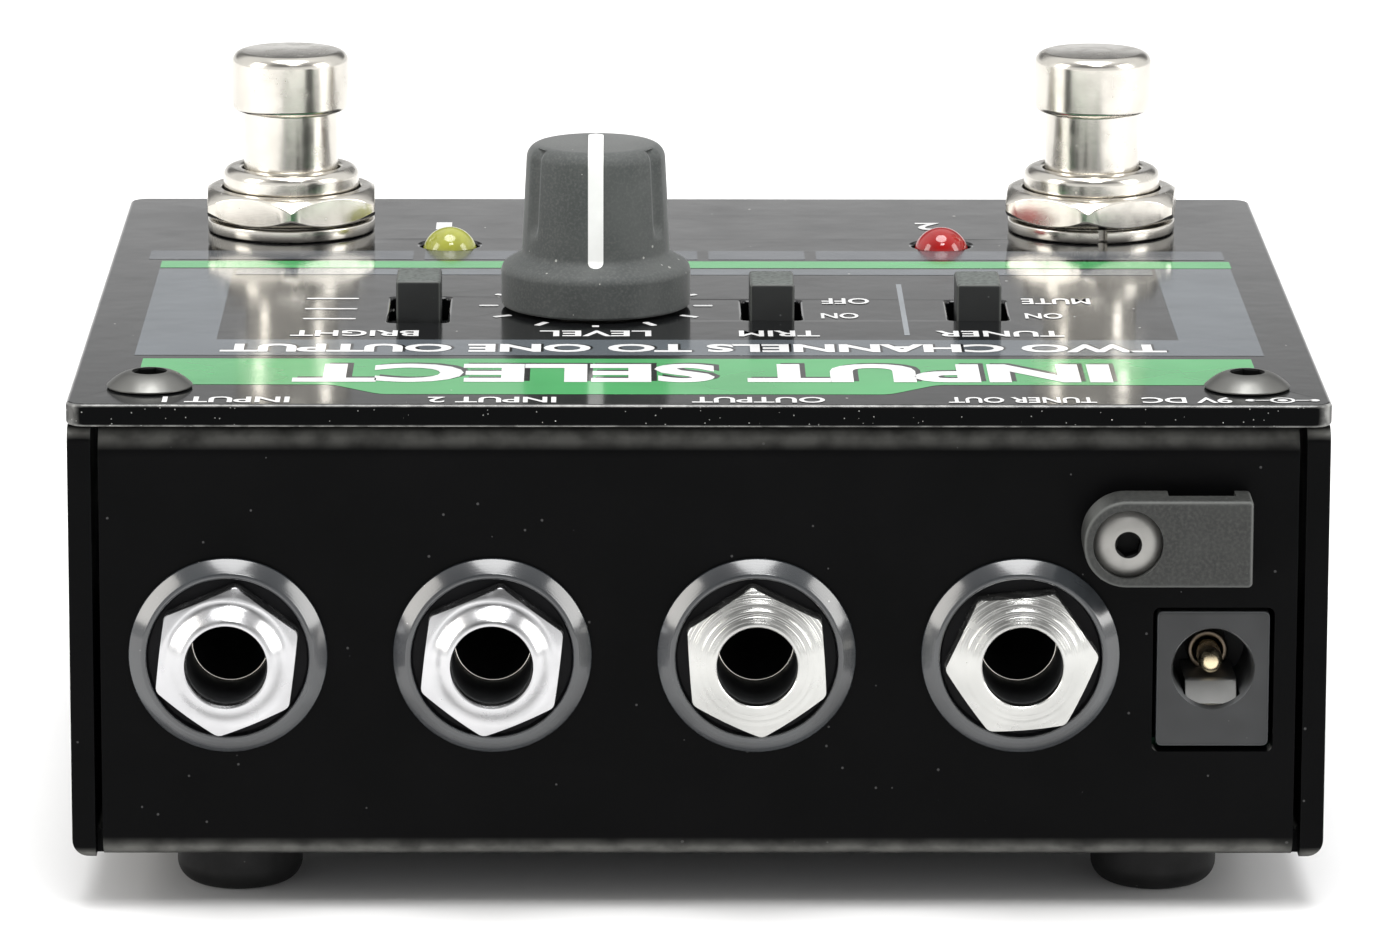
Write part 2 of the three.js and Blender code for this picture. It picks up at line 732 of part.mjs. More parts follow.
// The band just under the knob's surface where the pointer is let in.
function pointerBand(width, under, over, reach) {
  const slab = block(
    [-width / 2, -KNOB_BODY.skirt - 1, KNOB_BODY.waistHeight - 0.6 - reach],
    [width / 2, POINTER.start + reach, KNOB_BODY.height + 1],
  );
  return common(slab, cut(knobOuter(over), knobOuter(-under)));
}

function knob() {
  const recess = rod(KNOB_BODY.recess, 0, KNOB_BODY.recessTop, FINE);
  const shaftHole = rod(POT.shaft + FIT, 0, POT.shaftTop + FIT);
  const channel = pointerBand(POINTER.width + 0.1, POINTER.depth + 0.08, 1, 0.05);
  return cut(knobOuter(0), recess, shaftHole, channel);
}

add(level, "potentiometer", potentiometer(), zincScrew);
add(level, "pot_shaft", rod(POT.shaft, POT.shaftFrom, POT.shaftTop), springSteel);
const potNut = cut(chamferedHex(10, 0.1, 2.1, 0.5), rod(POT.bushing + FIT, -1, 3, FINE));
add(level, "pot_nut", potNut, nickel);
add(level, "level_knob", knob(), softTouch);
add(level, "knob_pointer", pointerBand(POINTER.width, POINTER.depth, 0.04, 0), white);

// ---- slide switches ----

const SWITCH_BODY = { width: 8.4, top: -SHEET - 0.2, bottom: -9.8, roof: 1.3, floor: -7.6, wall: 3.2 };
const SLIDE_PLATE = { width: 6, overhang: 0.9, from: -6.2, to: -4 };

function slideHousing(slider) {
  const half = sliderSlotLength(slider) / 2 + SWITCH_BODY.wall;
  const { width, top, bottom, roof, floor } = SWITCH_BODY;
  const opening = sliderSlotLength(slider) / 2 + 0.1;
  const room = opening + SLIDE_PLATE.overhang + 0.2;
  return cut(
    block([-width / 2, -half, bottom], [width / 2, half, top]),
    block([-2.2, -opening, floor], [2.2, opening, top + 1]),
    block([-width / 2 + 0.9, -room, floor], [width / 2 - 0.9, room, top - roof]),
  );
}

function slideHandle() {
  const { width, length, rise } = SLIDER_HANDLE;
  const { overhang, from, to } = SLIDE_PLATE;
  const top = raised(roundedRectangle(width, length, 0.25, 0, 0, 2), to - 0.5, rise);
  const plateLength = length / 2 + overhang;
  const plateWidth = SLIDE_PLATE.width / 2;
  return join(top, block([-plateWidth, -plateLength, from], [plateWidth, plateLength, to]));
}

for (const [name, slider] of Object.entries(SLIDERS)) {
  const place = groupAt(slider.x, LID_FRONT + slider.back, LID_TOP);
  add(place, `${name}_switch_housing`, slideHousing(slider), mouldedBlack);
  const offset = (slider.rest - slider.steps / 2) * SLIDER_TRAVEL;
  add(place, `${name}_switch_handle`, slideHandle(), mouldedBlack, [0, offset, 0]);
}

// ---- indicator lamps: domed lens, flange and two leads down to the control board ----

function led() {
  const { radius, rise } = LED;
  const lens = turned([
    [0, -6.5],
    [radius + 0.4, -6.5],
    [radius + 0.4, -5.6],
    ...arc(0, rise - radius, radius, 0, 90, 4).slice(0, -1),
    [0, rise],
  ]);
  const leadEnd = CONTROL_BOARD.top + FIT - LID_TOP;
  return join(
    lens,
    block([-1.5, -0.25, leadEnd], [-1, 0.25, -6]),
    block([1, -0.25, leadEnd], [1.5, 0.25, -6]),
  );
}

for (const [name, x] of Object.entries(LED_PLACES)) {
  const lens = name === "led_red" ? redLens : yellowLens;
  add(model, name, led(), lens, [x, LID_FRONT + LED.back, LID_TOP]);
}

// ---- circuit boards and the ribbon between them ----

function controlBoard() {
  const front = LID_FRONT + 30;
  const shoulder = LID_FRONT + 66;
  const back = LID_FRONT + 87;
  const shape = outline([
    [-47, front],
    [47, front],
    [47, shoulder],
    [25.6, shoulder],
    [25.6, back],
    [-25.6, back],
    [-25.6, shoulder],
    [-47, shoulder],
  ]);
  return raised(shape, CONTROL_BOARD.top - CONTROL_BOARD.thickness, CONTROL_BOARD.top);
}

function jackBoard() {
  const front = PANEL_Y + 4;
  const shape = roundedRectangle(94, 30, 1, 0, front + 15, 2);
  return raised(shape, JACK_BOARD.top - JACK_BOARD.thickness, JACK_BOARD.top);
}

function ribbonCable() {
  const y = PANEL_Y + 31;
  const top = CONTROL_BOARD.top - CONTROL_BOARD.thickness - FIT;
  const bottom = JACK_BOARD.top + FIT;
  const middle = (top + bottom) / 2;
  const line = [[y, bottom + 0.5], [y, bottom + 3], [y + 2.4, middle], [y, top - 3], [y, top - 0.5]];
  return join(
    strip(line, 0.9, 24),
    block([-13, y - 2.2, bottom], [13, y + 2.2, bottom + 2.4]),
    block([-13, y - 2.2, top - 2.4], [13, y + 2.2, top]),
  );
}

add(model, "control_board", controlBoard(), boardGreen);
add(model, "jack_board", jackBoard(), boardGreen);
add(model, "ribbon_cable", ribbonCable(), ribbonGrey);

export default model;
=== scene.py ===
import math
from contextlib import contextmanager

import bmesh
import bpy
from mathutils import Matrix, Vector


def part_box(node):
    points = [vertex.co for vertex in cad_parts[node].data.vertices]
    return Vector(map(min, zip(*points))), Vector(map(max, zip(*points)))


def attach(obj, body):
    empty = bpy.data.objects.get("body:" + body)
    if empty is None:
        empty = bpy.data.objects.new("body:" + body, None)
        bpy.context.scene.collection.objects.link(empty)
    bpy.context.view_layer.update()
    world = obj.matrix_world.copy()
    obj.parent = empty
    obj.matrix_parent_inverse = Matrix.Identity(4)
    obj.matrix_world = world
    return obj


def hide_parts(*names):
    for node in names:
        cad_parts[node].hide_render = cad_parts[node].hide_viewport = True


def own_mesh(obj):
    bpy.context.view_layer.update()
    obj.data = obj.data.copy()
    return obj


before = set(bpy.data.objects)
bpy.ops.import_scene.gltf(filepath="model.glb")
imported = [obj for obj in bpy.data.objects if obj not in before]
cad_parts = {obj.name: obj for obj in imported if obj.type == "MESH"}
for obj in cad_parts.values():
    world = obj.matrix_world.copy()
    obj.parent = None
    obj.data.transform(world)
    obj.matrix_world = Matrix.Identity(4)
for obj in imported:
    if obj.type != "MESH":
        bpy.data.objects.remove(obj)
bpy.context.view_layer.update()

MM = 0.001
ENCLOSURE = "enclosure"
ONE_POINT = 1e-4  # points nearer than this are joined


class Box:
    """A CAD node's box in millimetres."""

    def __init__(self, node):
        low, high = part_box(node)
        self.low, self.high = low / MM, high / MM
        self.x, self.y, self.z = (self.low + self.high) / 2


LID = Box("top_cover")
TRAY = Box("chassis_tray")
LID_TOP, LID_FRONT, LID_BACK = LID.high.z, LID.low.y, LID.high.y
SHEET = 1.9  # the steel's thickness
LID_BOTTOM = LID_TOP - SHEET
PANEL_Y, BACK_Y = TRAY.low.y, TRAY.high.y
FLOOR_Z, FLANGE_Z = TRAY.low.z, TRAY.high.z
JACKS = ("input_1", "input_2", "output", "tuner")
SIDES = ("left", "right")
LAMPS = ("yellow", "red")
SLIDERS = ("bright", "trim", "tuner")


# ---- outlines and profiles ----


def rounded(points, radius=0.0, closed=True, steps=5):
    """The same path with its corners rounded. A third number in a point is its own radius."""
    out = []
    count = len(points)
    for i, point in enumerate(points):
        corner = Vector(point[:2])
        r = point[2] if len(point) > 2 else radius
        before = Vector(points[i - 1][:2]) - corner
        after = Vector(points[(i + 1) % count][:2]) - corner
        half = before.angle(after, 0) / 2
        straight = half > math.pi / 2 - 0.01
        if r <= 0 or straight or (not closed and i in (0, count - 1)):
            out.append(corner)
            continue
        reach = min(r / math.tan(half), before.length * 0.49, after.length * 0.49)
        r = reach * math.tan(half)
        middle = corner + (before.normalized() + after.normalized()).normalized() * (r / math.sin(half))
        start = corner + before.normalized() * reach - middle
        end = corner + after.normalized() * reach - middle
        sweep = math.atan2(start.x * end.y - start.y * end.x, start.dot(end))
        for k in range(steps + 1):
            turn = Matrix.Rotation(sweep * k / steps, 2)
            out.append(middle + turn @ start)
    return [(p.x, p.y) for p in out]


def rectangle(x0, y0, x1, y1, radius=0.0, steps=5):
    return rounded([(x0, y0), (x1, y0), (x1, y1), (x0, y1)], radius, steps=steps)


def circle(x, y, radius, steps=64):
    angles = (2 * math.pi * k / steps for k in range(steps))
    return [(x + radius * math.cos(a), y + radius * math.sin(a)) for a in angles]


def hexagon(across_flats, x=0.0, y=0.0):
    return circle(x, y, across_flats / math.sqrt(3), 6)


# ---- meshes ----


def linked(name, data):
    made = bpy.data.objects.new(name, data)
    bpy.context.scene.collection.objects.link(made)
    return made


def as_shown(holder):
    """An object's mesh after its modifiers. The object itself is removed."""
    bpy.context.view_layer.update()
    evaluated = holder.evaluated_get(bpy.context.evaluated_depsgraph_get())
    mesh = bpy.data.meshes.new_from_object(evaluated)
    bpy.data.objects.remove(holder)
    return mesh


@contextmanager
def editing(mesh):
    work = bmesh.new()
    work.from_mesh(mesh)
    yield work
    work.to_mesh(mesh)
    work.free()


def mesh_from(verts, faces):
    mesh = bpy.data.meshes.new("part")
    mesh.from_pydata(verts, [], faces)
    mesh.validate()
    with editing(mesh) as work:
        bmesh.ops.recalc_face_normals(work, faces=work.faces)
    return mesh


def loft(loops, closed=False):
    """A skin over loops of equally many points, closed end to start or by two flat ends."""
    count = len(loops[0])
    verts = [point for loop in loops for point in loop]
    starts = range(0, len(verts), count)
    pairs = list(zip(starts, starts[1:]))
    if closed:
        pairs.append((starts[-1], 0))
    faces = [(a + i, a + (i + 1) % count, b + (i + 1) % count, b + i)
             for a, b in pairs for i in range(count)]
    if not closed:
        faces += [tuple(range(start, start + count)) for start in (0, starts[-1])]
    return mesh_from(verts, faces)


def radial(mesh):
    """Keeps each point's radius and height, which the turning marks in a finish follow."""
    for name, measure in (
        ("turned_radius", lambda v: math.hypot(v.x, v.y)),
        ("turned_height", lambda v: v.z),
    ):
        values = [measure(v.co) for v in mesh.vertices]
        if name in mesh.attributes:
            mesh.attributes.remove(mesh.attributes[name])
        mesh.attributes.new(name, "FLOAT", "POINT").data.foreach_set("value", values)
    return mesh


def lathe(profile, segments=96, closed=False, shift=None):
    """A surface of revolution about Z. The profile is (radius, height) points, from pole to pole,
    or closed. shift(angle, radius, height) gives a changed radius."""
    verts, rings, faces = [], [], []
    for radius, height in profile:
        count = 1 if radius < ONE_POINT else segments
        rings.append([len(verts) + k % count for k in range(segments)])
        for k in range(count):
            angle = 2 * math.pi * k / segments
            r = shift(angle, radius, height) if shift else radius
            verts.append((r * math.cos(angle), r * math.sin(angle), height))
    pairs = list(zip(rings, rings[1:]))
    if closed:
        pairs.append((rings[-1], rings[0]))
    for low, high in pairs:
        for k in range(segments):
            n = (k + 1) % segments
            corners = dict.fromkeys((low[k], low[n], high[n], high[k]))
            if len(corners) > 2:
                faces.append(tuple(corners))
    return radial(mesh_from(verts, faces))


def plate(loops, low, high, bevel=0.0, steps=3):
    """Outlines in X and Y, the first one outside and the others holes, made solid between two
    heights, with every edge rounded."""
    curve = bpy.data.curves.new("outline", "CURVE")
    curve.dimensions = "2D"
    curve.fill_mode = "BOTH"
    for loop in loops:
        spline = curve.splines.new("POLY")
        spline.points.add(len(loop) - 1)
        for point, (x, y) in zip(spline.points, loop):
            point.co = (x, y, 0, 1)
        spline.use_cyclic_u = True
    curve.extrude = (high - low) / 2 - bevel
    curve.bevel_depth = bevel
    curve.bevel_resolution = steps - 1
    curve.offset = -bevel
    return solid_from_curve(curve, (high + low) / 2)


def solid_from_curve(curve, height=0.0):
    mesh = as_shown(linked("outline", curve))
    bpy.data.curves.remove(curve)
    mesh.transform(Matrix.Translation((0, 0, height)))
    mesh.materials.clear()
    with editing(mesh) as work:
        bmesh.ops.remove_doubles(work, verts=work.verts, dist=ONE_POINT)
        bmesh.ops.recalc_face_normals(work, faces=work.faces)
    return mesh


def modified(mesh, kind, **settings):
    """The mesh after one modifier."""
    holder = linked("work", mesh)
    modifier = holder.modifiers.new("step", kind)
    for key, value in settings.items():
        setattr(modifier, key, value)
    return as_shown(holder)


def combined(mesh, *others, operation="DIFFERENCE"):
    for other in others:
        tool = linked("tool", other)
        mesh = modified(mesh, "BOOLEAN", object=tool, operation=operation, solver="EXACT")
        bpy.data.objects.remove(tool)
    return mesh


def softened(mesh, width, segments=2):
    """The mesh with its sharp edges rounded."""
    with editing(mesh) as work:
        bmesh.ops.remove_doubles(work, verts=work.verts, dist=ONE_POINT)
        bmesh.ops.dissolve_limit(work, angle_limit=math.radians(1), verts=work.verts,
                                 edges=work.edges)
    return modified(mesh, "BEVEL", width=width, segments=segments, limit_method="ANGLE",
                    angle_limit=math.radians(40), use_clamp_overlap=True)


def joined(*meshes):
    made = bpy.data.meshes.new("joined")
    with editing(made) as work:
        for mesh in meshes:
            work.from_mesh(mesh)
    return made


def placed(mesh, matrix):
    copy = mesh.copy()
    copy.transform(matrix)
    return copy


def block(low, high, bevel=0.0):
    outline = rectangle(low[0], low[1], high[0], high[1])
    return plate([outline], low[2], high[2], bevel, 2)


def at(x, y, z, turn=0.0):
    return Matrix.Translation((x, y, z)) @ Matrix.Rotation(math.radians(turn), 4, "Z")


# Turns a part made about Z so that its axis points out of the panel, towards -Y.
FACING_OUT = Matrix(((1, 0, 0, 0), (0, 0, -1, 0), (0, 1, 0, 0), (0, 0, 0, 1)))
# Turns a plate whose outline is drawn in Y and Z so that its thickness runs along X.
ALONG_X = Matrix(((0, 0, 1, 0), (1, 0, 0, 0), (0, 1, 0, 0), (0, 0, 0, 1)))


def on_panel(x, z, out=0.0, turn=0.0):
    return at(x, PANEL_Y - out, z) @ FACING_OUT @ at(0, 0, 0, turn)


def on_lid(node, turn=0.0):
    spot = Box(node)
    return at(spot.x, spot.y, LID_TOP, turn)


def piece(name, mesh, finish, body=ENCLOSURE, stands_for=(), where=None, crease=35):
    """A mesh in millimetres becomes a shown piece that rides on a body and takes its finish."""
    data = mesh.copy()
    if where is not None:
        data.transform(where)
    data.transform(Matrix.Scale(MM, 4))
    data.name = name
    data.shade_smooth()
    data.set_sharp_from_angle(angle=math.radians(crease))
    data.materials.clear()
    data.materials.append(finish.material)
    made = linked(name, data)
    weighted = made.modifiers.new("even_shading", "WEIGHTED_NORMAL")
    weighted.keep_sharp = True
    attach(made, body)
    if stands_for:
        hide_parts(*stands_for)
    return made


# ---- finishes ----


class Nodes:
    """Short calls that add nodes to a tree. A value is a number or another node's output."""

    def __init__(self, tree):
        self.tree = tree

    def feed(self, socket, value):
        if isinstance(value, bpy.types.NodeSocket):
            self.tree.links.new(value, socket)
        else:
            socket.default_value = value

    def node(self, kind, **inputs):
        made = self.tree.nodes.new(kind)
        for key, value in inputs.items():
            self.feed(made.inputs[key.replace("_", " ")], value)
        return made

    def math(self, operation, a, b=0.0):
        made = self.tree.nodes.new("ShaderNodeMath")
        made.operation = operation
        self.feed(made.inputs[0], a)
        self.feed(made.inputs[1], b)
        return made.outputs[0]

    def product(self, value, *others):
        for other in others:
            value = self.math("MULTIPLY", value, other)
        return value

    def span(self, value, low, high, out_low=0.0, out_high=1.0):
        """The value with low to high stretched over out_low to out_high, and no further."""
        return self.node("ShaderNodeMapRange", Value=value, From_Min=low, From_Max=high,
                         To_Min=out_low, To_Max=out_high).outputs[0]


# A Mix node's factor, lower input, upper input and result, by the kind of value it mixes.
MIX_SOCKETS = {"RGBA": (0, 6, 7, 2), "FLOAT": (0, 2, 3, 0)}


class Finish(Nodes):
    """A procedural material: a Principled shader, with calls that lay colour, roughness and
    relief over its surface."""

    def __init__(self, name, slot, color, roughness, **sockets):
        self.slot = slot
        self.material = bpy.data.materials.new(name)
        self.material.use_nodes = True
        super().__init__(self.material.node_tree)
        self.shader = self.tree.nodes["Principled BSDF"]
        self.shader.inputs["Base Color"].default_value = (*color, 1)
        self.shader.inputs["Roughness"].default_value = roughness
        for key, value in sockets.items():
            self.shader.inputs[key.replace("_", " ")].default_value = value
        self.place = self.node("ShaderNodeTexCoord").outputs["Object"]
        self.relief = None

    def noise(self, size, detail=3.0):
        """Soft blotches about size millimetres across, from 0 to 1."""
        return self.node("ShaderNodeTexNoise", Vector=self.place, Scale=1 / (size * MM),
                         Detail=detail).outputs[0]

    def specks(self, cell, size, share):
        """Round dots in some of the cells, each cell millimetres across."""
        found = self.node("ShaderNodeTexVoronoi", Vector=self.place, Scale=1 / (cell * MM))
        parts = self.node("ShaderNodeSeparateColor", Color=found.outputs["Color"])
        wide = self.product(parts.outputs[1], size)
        dot = self.math("LESS_THAN", found.outputs["Distance"], wide)
        return self.product(dot, self.math("LESS_THAN", parts.outputs[0], share))

    def kept(self, attribute):
        """A turned piece's radius or height in millimetres, as radial() kept it."""
        source = self.tree.nodes.new("ShaderNodeAttribute")
        source.attribute_name = attribute
        return source.outputs["Fac"]

    def turned(self, attribute, per_mm):
        """Fine rings that follow a turned piece's radius or height."""
        made = self.tree.nodes.new("ShaderNodeTexNoise")
        made.noise_dimensions = "1D"
        self.feed(made.inputs["W"], self.product(self.kept(attribute), per_mm))
        made.inputs["Scale"].default_value = 1.0
        made.inputs["Detail"].default_value = 4.0
        return made.outputs[0]

    def within(self, radius):
        """1 inside that many millimetres from a turned piece's axis."""
        return self.span(self.kept("turned_radius"), radius, radius + 0.06, 1.0, 0.0)

    def facings(self):
        """How far the surface faces along the piece's own X, Y and Z."""
        normal = self.node("ShaderNodeTexCoord").outputs["Normal"]
        return self.node("ShaderNodeSeparateXYZ", Vector=normal).outputs

    def edges(self):
        """Where a square-cut piece turns from one side to the next: where paint wears first, and where
        lighter paint also stands in as painted highlight on rounded edges and bends.
        """
        most = 0.0
        for facing in self.facings():
            most = self.math("MAXIMUM", most, self.math("ABSOLUTE", facing, 0.0))
        return self.span(self.math("SUBTRACT", 1.0, most), 0.03, 0.22)

    def facing_up(self, low=0.3, high=0.95):
        """1 on surfaces that face up and 0 on upright ones; it places settled dust with painted
        reflection on top faces, and painted shade on upright ones.
        """
        return self.span(self.facings()[2], low, high)

    def paint(self, mask, color):
        self.lay("Base Color", mask, (*color, 1), "RGBA")

    def rough(self, mask, value):
        self.lay("Roughness", mask, value, "FLOAT")

    def lay(self, socket_name, mask, value, kind):
        socket = self.shader.inputs[socket_name]
        mix = self.tree.nodes.new("ShaderNodeMix")
        mix.data_type = kind
        factor, lower, upper, result = MIX_SOCKETS[kind]
        self.feed(mix.inputs[factor], mask)
        held = socket.links[0].from_socket if socket.is_linked else socket.default_value
        self.feed(mix.inputs[lower], held)
        self.feed(mix.inputs[upper], value)
        self.feed(socket, mix.outputs[result])

    def bump(self, height, depth):
        """Relief of about depth millimetres where height goes from 0 to 1."""
        made = self.node("ShaderNodeBump", Strength=1.0, Distance=depth * MM, Height=height)
        if self.relief is not None:
            self.feed(made.inputs["Normal"], self.relief)
        self.relief = made.outputs[0]
        self.feed(self.shader.inputs["Normal"], self.relief)


def shade(color, share):
    return tuple(c * share for c in color)


def powder_coat():
    f = Finish("powder_coat", "powder_coat", (0.0013, 0.0014, 0.0015), 0.3,
               Specular_IOR_Level=0.045)
    f.paint(f.span(f.noise(9), 0.35, 0.7), (0.002, 0.002, 0.0022))
    f.rough(f.span(f.noise(3.5), 0.3, 0.7), 0.4)
    f.paint(f.specks(1.3, 0.11, 0.2), (0.05, 0.05, 0.05))
    # painted highlight and wear: rounded edges and bends are painted lighter, partly as worn paint and
    # partly as painted highlight where they catch the light
    wear_and_edge_highlight = f.product(f.edges(), f.span(f.noise(2.5), 0.3, 0.6, 0.4, 1.0))
    f.paint(wear_and_edge_highlight, (0.12, 0.12, 0.112))
    f.bump(f.noise(0.55, 2), 0.016)
    f.bump(f.noise(0.14, 2), 0.003)
    return f


def gloss_paint(name, color, roughness, specular=0.5, wear_and_highlight_ahead_of=None):
    """Ink or paint that is glossy on top; its upright sides are painted darker as painted shade and
    carry dust specks, and where asked its front edges are chipped and painted lighter as wear and
    painted highlight.
    """
    f = Finish(name, "gloss_paint", color, roughness, Specular_IOR_Level=specular)
    f.paint(f.span(f.noise(14), 0.35, 0.7), shade(color, 0.8))
    f.rough(f.span(f.noise(6), 0.4, 0.75), roughness + 0.08)
    dust = f.specks(1.7, 0.09, 0.16)
    f.paint(dust, (0.35, 0.35, 0.33))
    f.rough(dust, 0.8)
    up = f.facing_up(0.2, 0.6)
    upright = f.math("SUBTRACT", 1.0, up)
    f.feed(f.shader.inputs["Specular IOR Level"], f.span(up, 0.0, 1.0, 0.03, specular))
    # painted shade: upright sides painted at 30% of the colour, darker than the top
    f.paint(upright, shade(color, 0.3))
    f.paint(f.product(f.specks(0.4, 0.26, 0.3), upright), (0.24, 0.24, 0.23))
    f.paint(f.product(f.specks(0.9, 0.16, 0.12), upright), (0.6, 0.6, 0.58))
    if wear_and_highlight_ahead_of is not None:
        depth = f.node("ShaderNodeSeparateXYZ", Vector=f.place).outputs[1]
        front = f.math("LESS_THAN", depth, wear_and_highlight_ahead_of * MM)
        # painted highlight and wear: edges in front of the given depth painted lighter in patches, as
        # worn paint and as painted highlight
        patchy_wear_and_highlight = f.product(f.edges(), f.span(f.noise(1.2), 0.4, 0.6, 0.4, 1.0))
        f.paint(f.product(patchy_wear_and_highlight, front), (0.26, 0.26, 0.25))
    f.bump(f.noise(2.6, 1), 0.004)
    return f


def metal(name, slot, color, roughness, marks=0.0, per_mm=14, height_marks=0.0, painted_shade_within=0):
    f = Finish(name, slot, color, roughness, Metallic=1.0)
    f.paint(f.span(f.noise(4), 0.4, 0.8), shade(color, 0.82))
    f.rough(f.span(f.noise(1.6), 0.45, 0.75), roughness + 0.12)
    f.rough(f.specks(0.9, 0.12, 0.2), 0.6)
    if marks:
        f.bump(f.turned("turned_radius", per_mm), marks)
    if height_marks:
        f.bump(f.turned("turned_height", per_mm), height_marks)
    if painted_shade_within:
        # painted shade: inside this radius, the floor of the hex socket, painted near black and rough
        # as shade in the recess
        f.paint(f.within(painted_shade_within), (0.012, 0.012, 0.012))
        f.rough(f.within(painted_shade_within), 0.6)
    f.bump(f.noise(0.7), 0.0012)
    return f


def plastic(name, slot, color, roughness, grain=0.004, grain_size=0.25, lighter=1.5, dust=0.15,
            dust_and_top_reflection=None, wear_and_edge_highlight=None, grainy=None):
    f = Finish(name, slot, color, roughness)
    f.paint(f.span(f.noise(2.2), 0.35, 0.75), shade(color, lighter))
    f.rough(f.span(f.noise(1.1), 0.3, 0.7), roughness + 0.12)
    f.paint(f.specks(0.8, 0.12, dust), tuple(min(1, c * 3 + 0.05) for c in color))
    if grainy:
        f.paint(f.span(f.noise(0.3, 2), 0.42, 0.75), grainy)
    if dust_and_top_reflection:
        # dust and painted reflection: up-facing surfaces painted lighter in patches, partly settled
        # dust and partly painted reflection of the bright surroundings
        top_dust_and_reflection = f.product(f.facing_up(), f.span(f.noise(0.35), 0.3, 0.6, 0.3, 1.0))
        f.paint(top_dust_and_reflection, dust_and_top_reflection)
    if wear_and_edge_highlight:
        # painted highlight and wear: edges painted lighter, as worn plastic and as painted highlight
        f.paint(f.edges(), wear_and_edge_highlight)
    f.bump(f.noise(grain_size, 2), grain)
    return f


def washer_nylon():
    """Clear smoky nylon with a milky sheen on the rim; the dish inside the rim is painted dark as
    painted shade under the nut.
    """
    f = Finish("dark_nylon", "dark_nylon", (0.016, 0.018, 0.021), 0.2, Coat_Weight=1.0,
               Coat_Roughness=0.12)
    f.paint(f.span(f.noise(6, 2), 0.35, 0.7), (0.03, 0.034, 0.038))
    f.paint(f.specks(0.7, 0.12, 0.15), (0.3, 0.3, 0.3))
    # painted shade: the dish between the rim and the nut painted near black and rough, with no coat
    shaded_dish = f.within(6.56)
    f.paint(shaded_dish, (0.006, 0.006, 0.007))
    f.rough(shaded_dish, 0.5)
    rim = f.math("SUBTRACT", 1.0, shaded_dish)
    f.feed(f.shader.inputs["Coat Weight"], rim)
    f.feed(f.shader.inputs["Specular IOR Level"], f.span(rim, 0.0, 1.0, 0.12, 0.6))
    f.bump(f.turned("turned_radius", 5), 0.004)
    f.bump(f.noise(0.9, 2), 0.002)
    return f


def soft_touch():
    f = Finish("soft_touch", "soft_touch", (0.045, 0.05, 0.049), 0.66, Sheen_Weight=0.2,
               Sheen_Roughness=0.4)
    f.paint(f.span(f.noise(5, 4), 0.4, 0.65), (0.065, 0.07, 0.068))
    f.paint(f.span(f.noise(0.22, 2), 0.45, 0.8), (0.085, 0.09, 0.086))
    f.paint(f.specks(0.75, 0.2, 0.14), (0.32, 0.32, 0.3))
    f.bump(f.noise(0.16, 3), 0.006)
    return f


def rubber():
    f = Finish("foot_rubber", "foot_rubber", (0.0045, 0.0045, 0.0045), 0.62,
               Specular_IOR_Level=0.3)
    f.paint(f.span(f.noise(1.8), 0.4, 0.75), (0.012, 0.012, 0.012))
    f.paint(f.specks(1.1, 0.14, 0.15), (0.08, 0.08, 0.075))
    f.bump(f.noise(0.3, 3), 0.008)
    return f


def lens(name, slot, color):
    f = Finish(name, slot, color, 0.06, Transmission_Weight=0.35, IOR=1.5, Coat_Weight=0.4,
               Coat_Roughness=0.05)
    f.paint(f.span(f.noise(1.4), 0.4, 0.7), shade(color, 0.75))
    f.rough(f.span(f.noise(0.8), 0.4, 0.8), 0.14)
    f.bump(f.noise(0.6, 1), 0.002)
    return f


def circuit_board():
    f = Finish("board_green", "board_green", (0.012, 0.11, 0.045), 0.35, Coat_Weight=0.3)
    lines = f.tree.nodes.new("ShaderNodeTexBrick")
    f.feed(lines.inputs["Vector"], f.place)
    lines.inputs["Scale"].default_value = 180
    lines.inputs["Mortar Size"].default_value = 0.03
    f.paint(lines.outputs["Fac"], (0.02, 0.2, 0.08))
    f.paint(f.specks(2.5, 0.2, 0.6), (0.6, 0.58, 0.5))
    f.rough(f.noise(3), 0.45)
    f.bump(lines.outputs["Fac"], 0.03)
    return f


def ribbon():
    wire_pitch = 1.27
    f = Finish("ribbon_grey", "ribbon_grey", (0.28, 0.29, 0.31), 0.5)
    wave = f.node("ShaderNodeTexWave", Vector=f.place, Scale=1 / (wire_pitch * MM * math.tau))
    f.bump(wave.outputs["Fac"], 0.25)
    # painted shade: the grooves between the wires painted darker
    f.paint(f.span(wave.outputs["Fac"], 0.0, 0.3, 1.0, 0.0), (0.12, 0.12, 0.13))
    f.paint(f.span(f.noise(2), 0.4, 0.8), (0.34, 0.35, 0.37))
    return f


POWDER = powder_coat()
GLOSS = gloss_paint("lid_paint", (0.006, 0.0065, 0.007), 0.09, wear_and_highlight_ahead_of=LID_FRONT + 1.5)
INK_DIM = gloss_paint("ink_dim", (0.085, 0.093, 0.105), 0.14)
INK_BLACK = gloss_paint("ink_black", (0.004, 0.004, 0.004), 0.1)
INK_WHITE = gloss_paint("ink_white", (0.82, 0.82, 0.82), 0.16, specular=0.45)
INK_GREEN = gloss_paint("ink_green", (0.07, 0.36, 0.12), 0.1)
INK_GREY = gloss_paint("ink_grey", (0.1, 0.115, 0.13), 0.1)
INK_PALE = gloss_paint("ink_pale", (0.22, 0.24, 0.26), 0.1)
CHROME = metal("chrome_polished", "chrome_nut", (0.6, 0.6, 0.61), 0.2, marks=0.0015)
CHROME_TURNED = metal("chrome_turned", "chrome_nut", (0.58, 0.58, 0.56), 0.2, marks=0.06,
                      per_mm=3)
NICKEL = metal("nickel", "nickel", (0.7, 0.67, 0.61), 0.19, marks=0.0015, height_marks=0.0012)
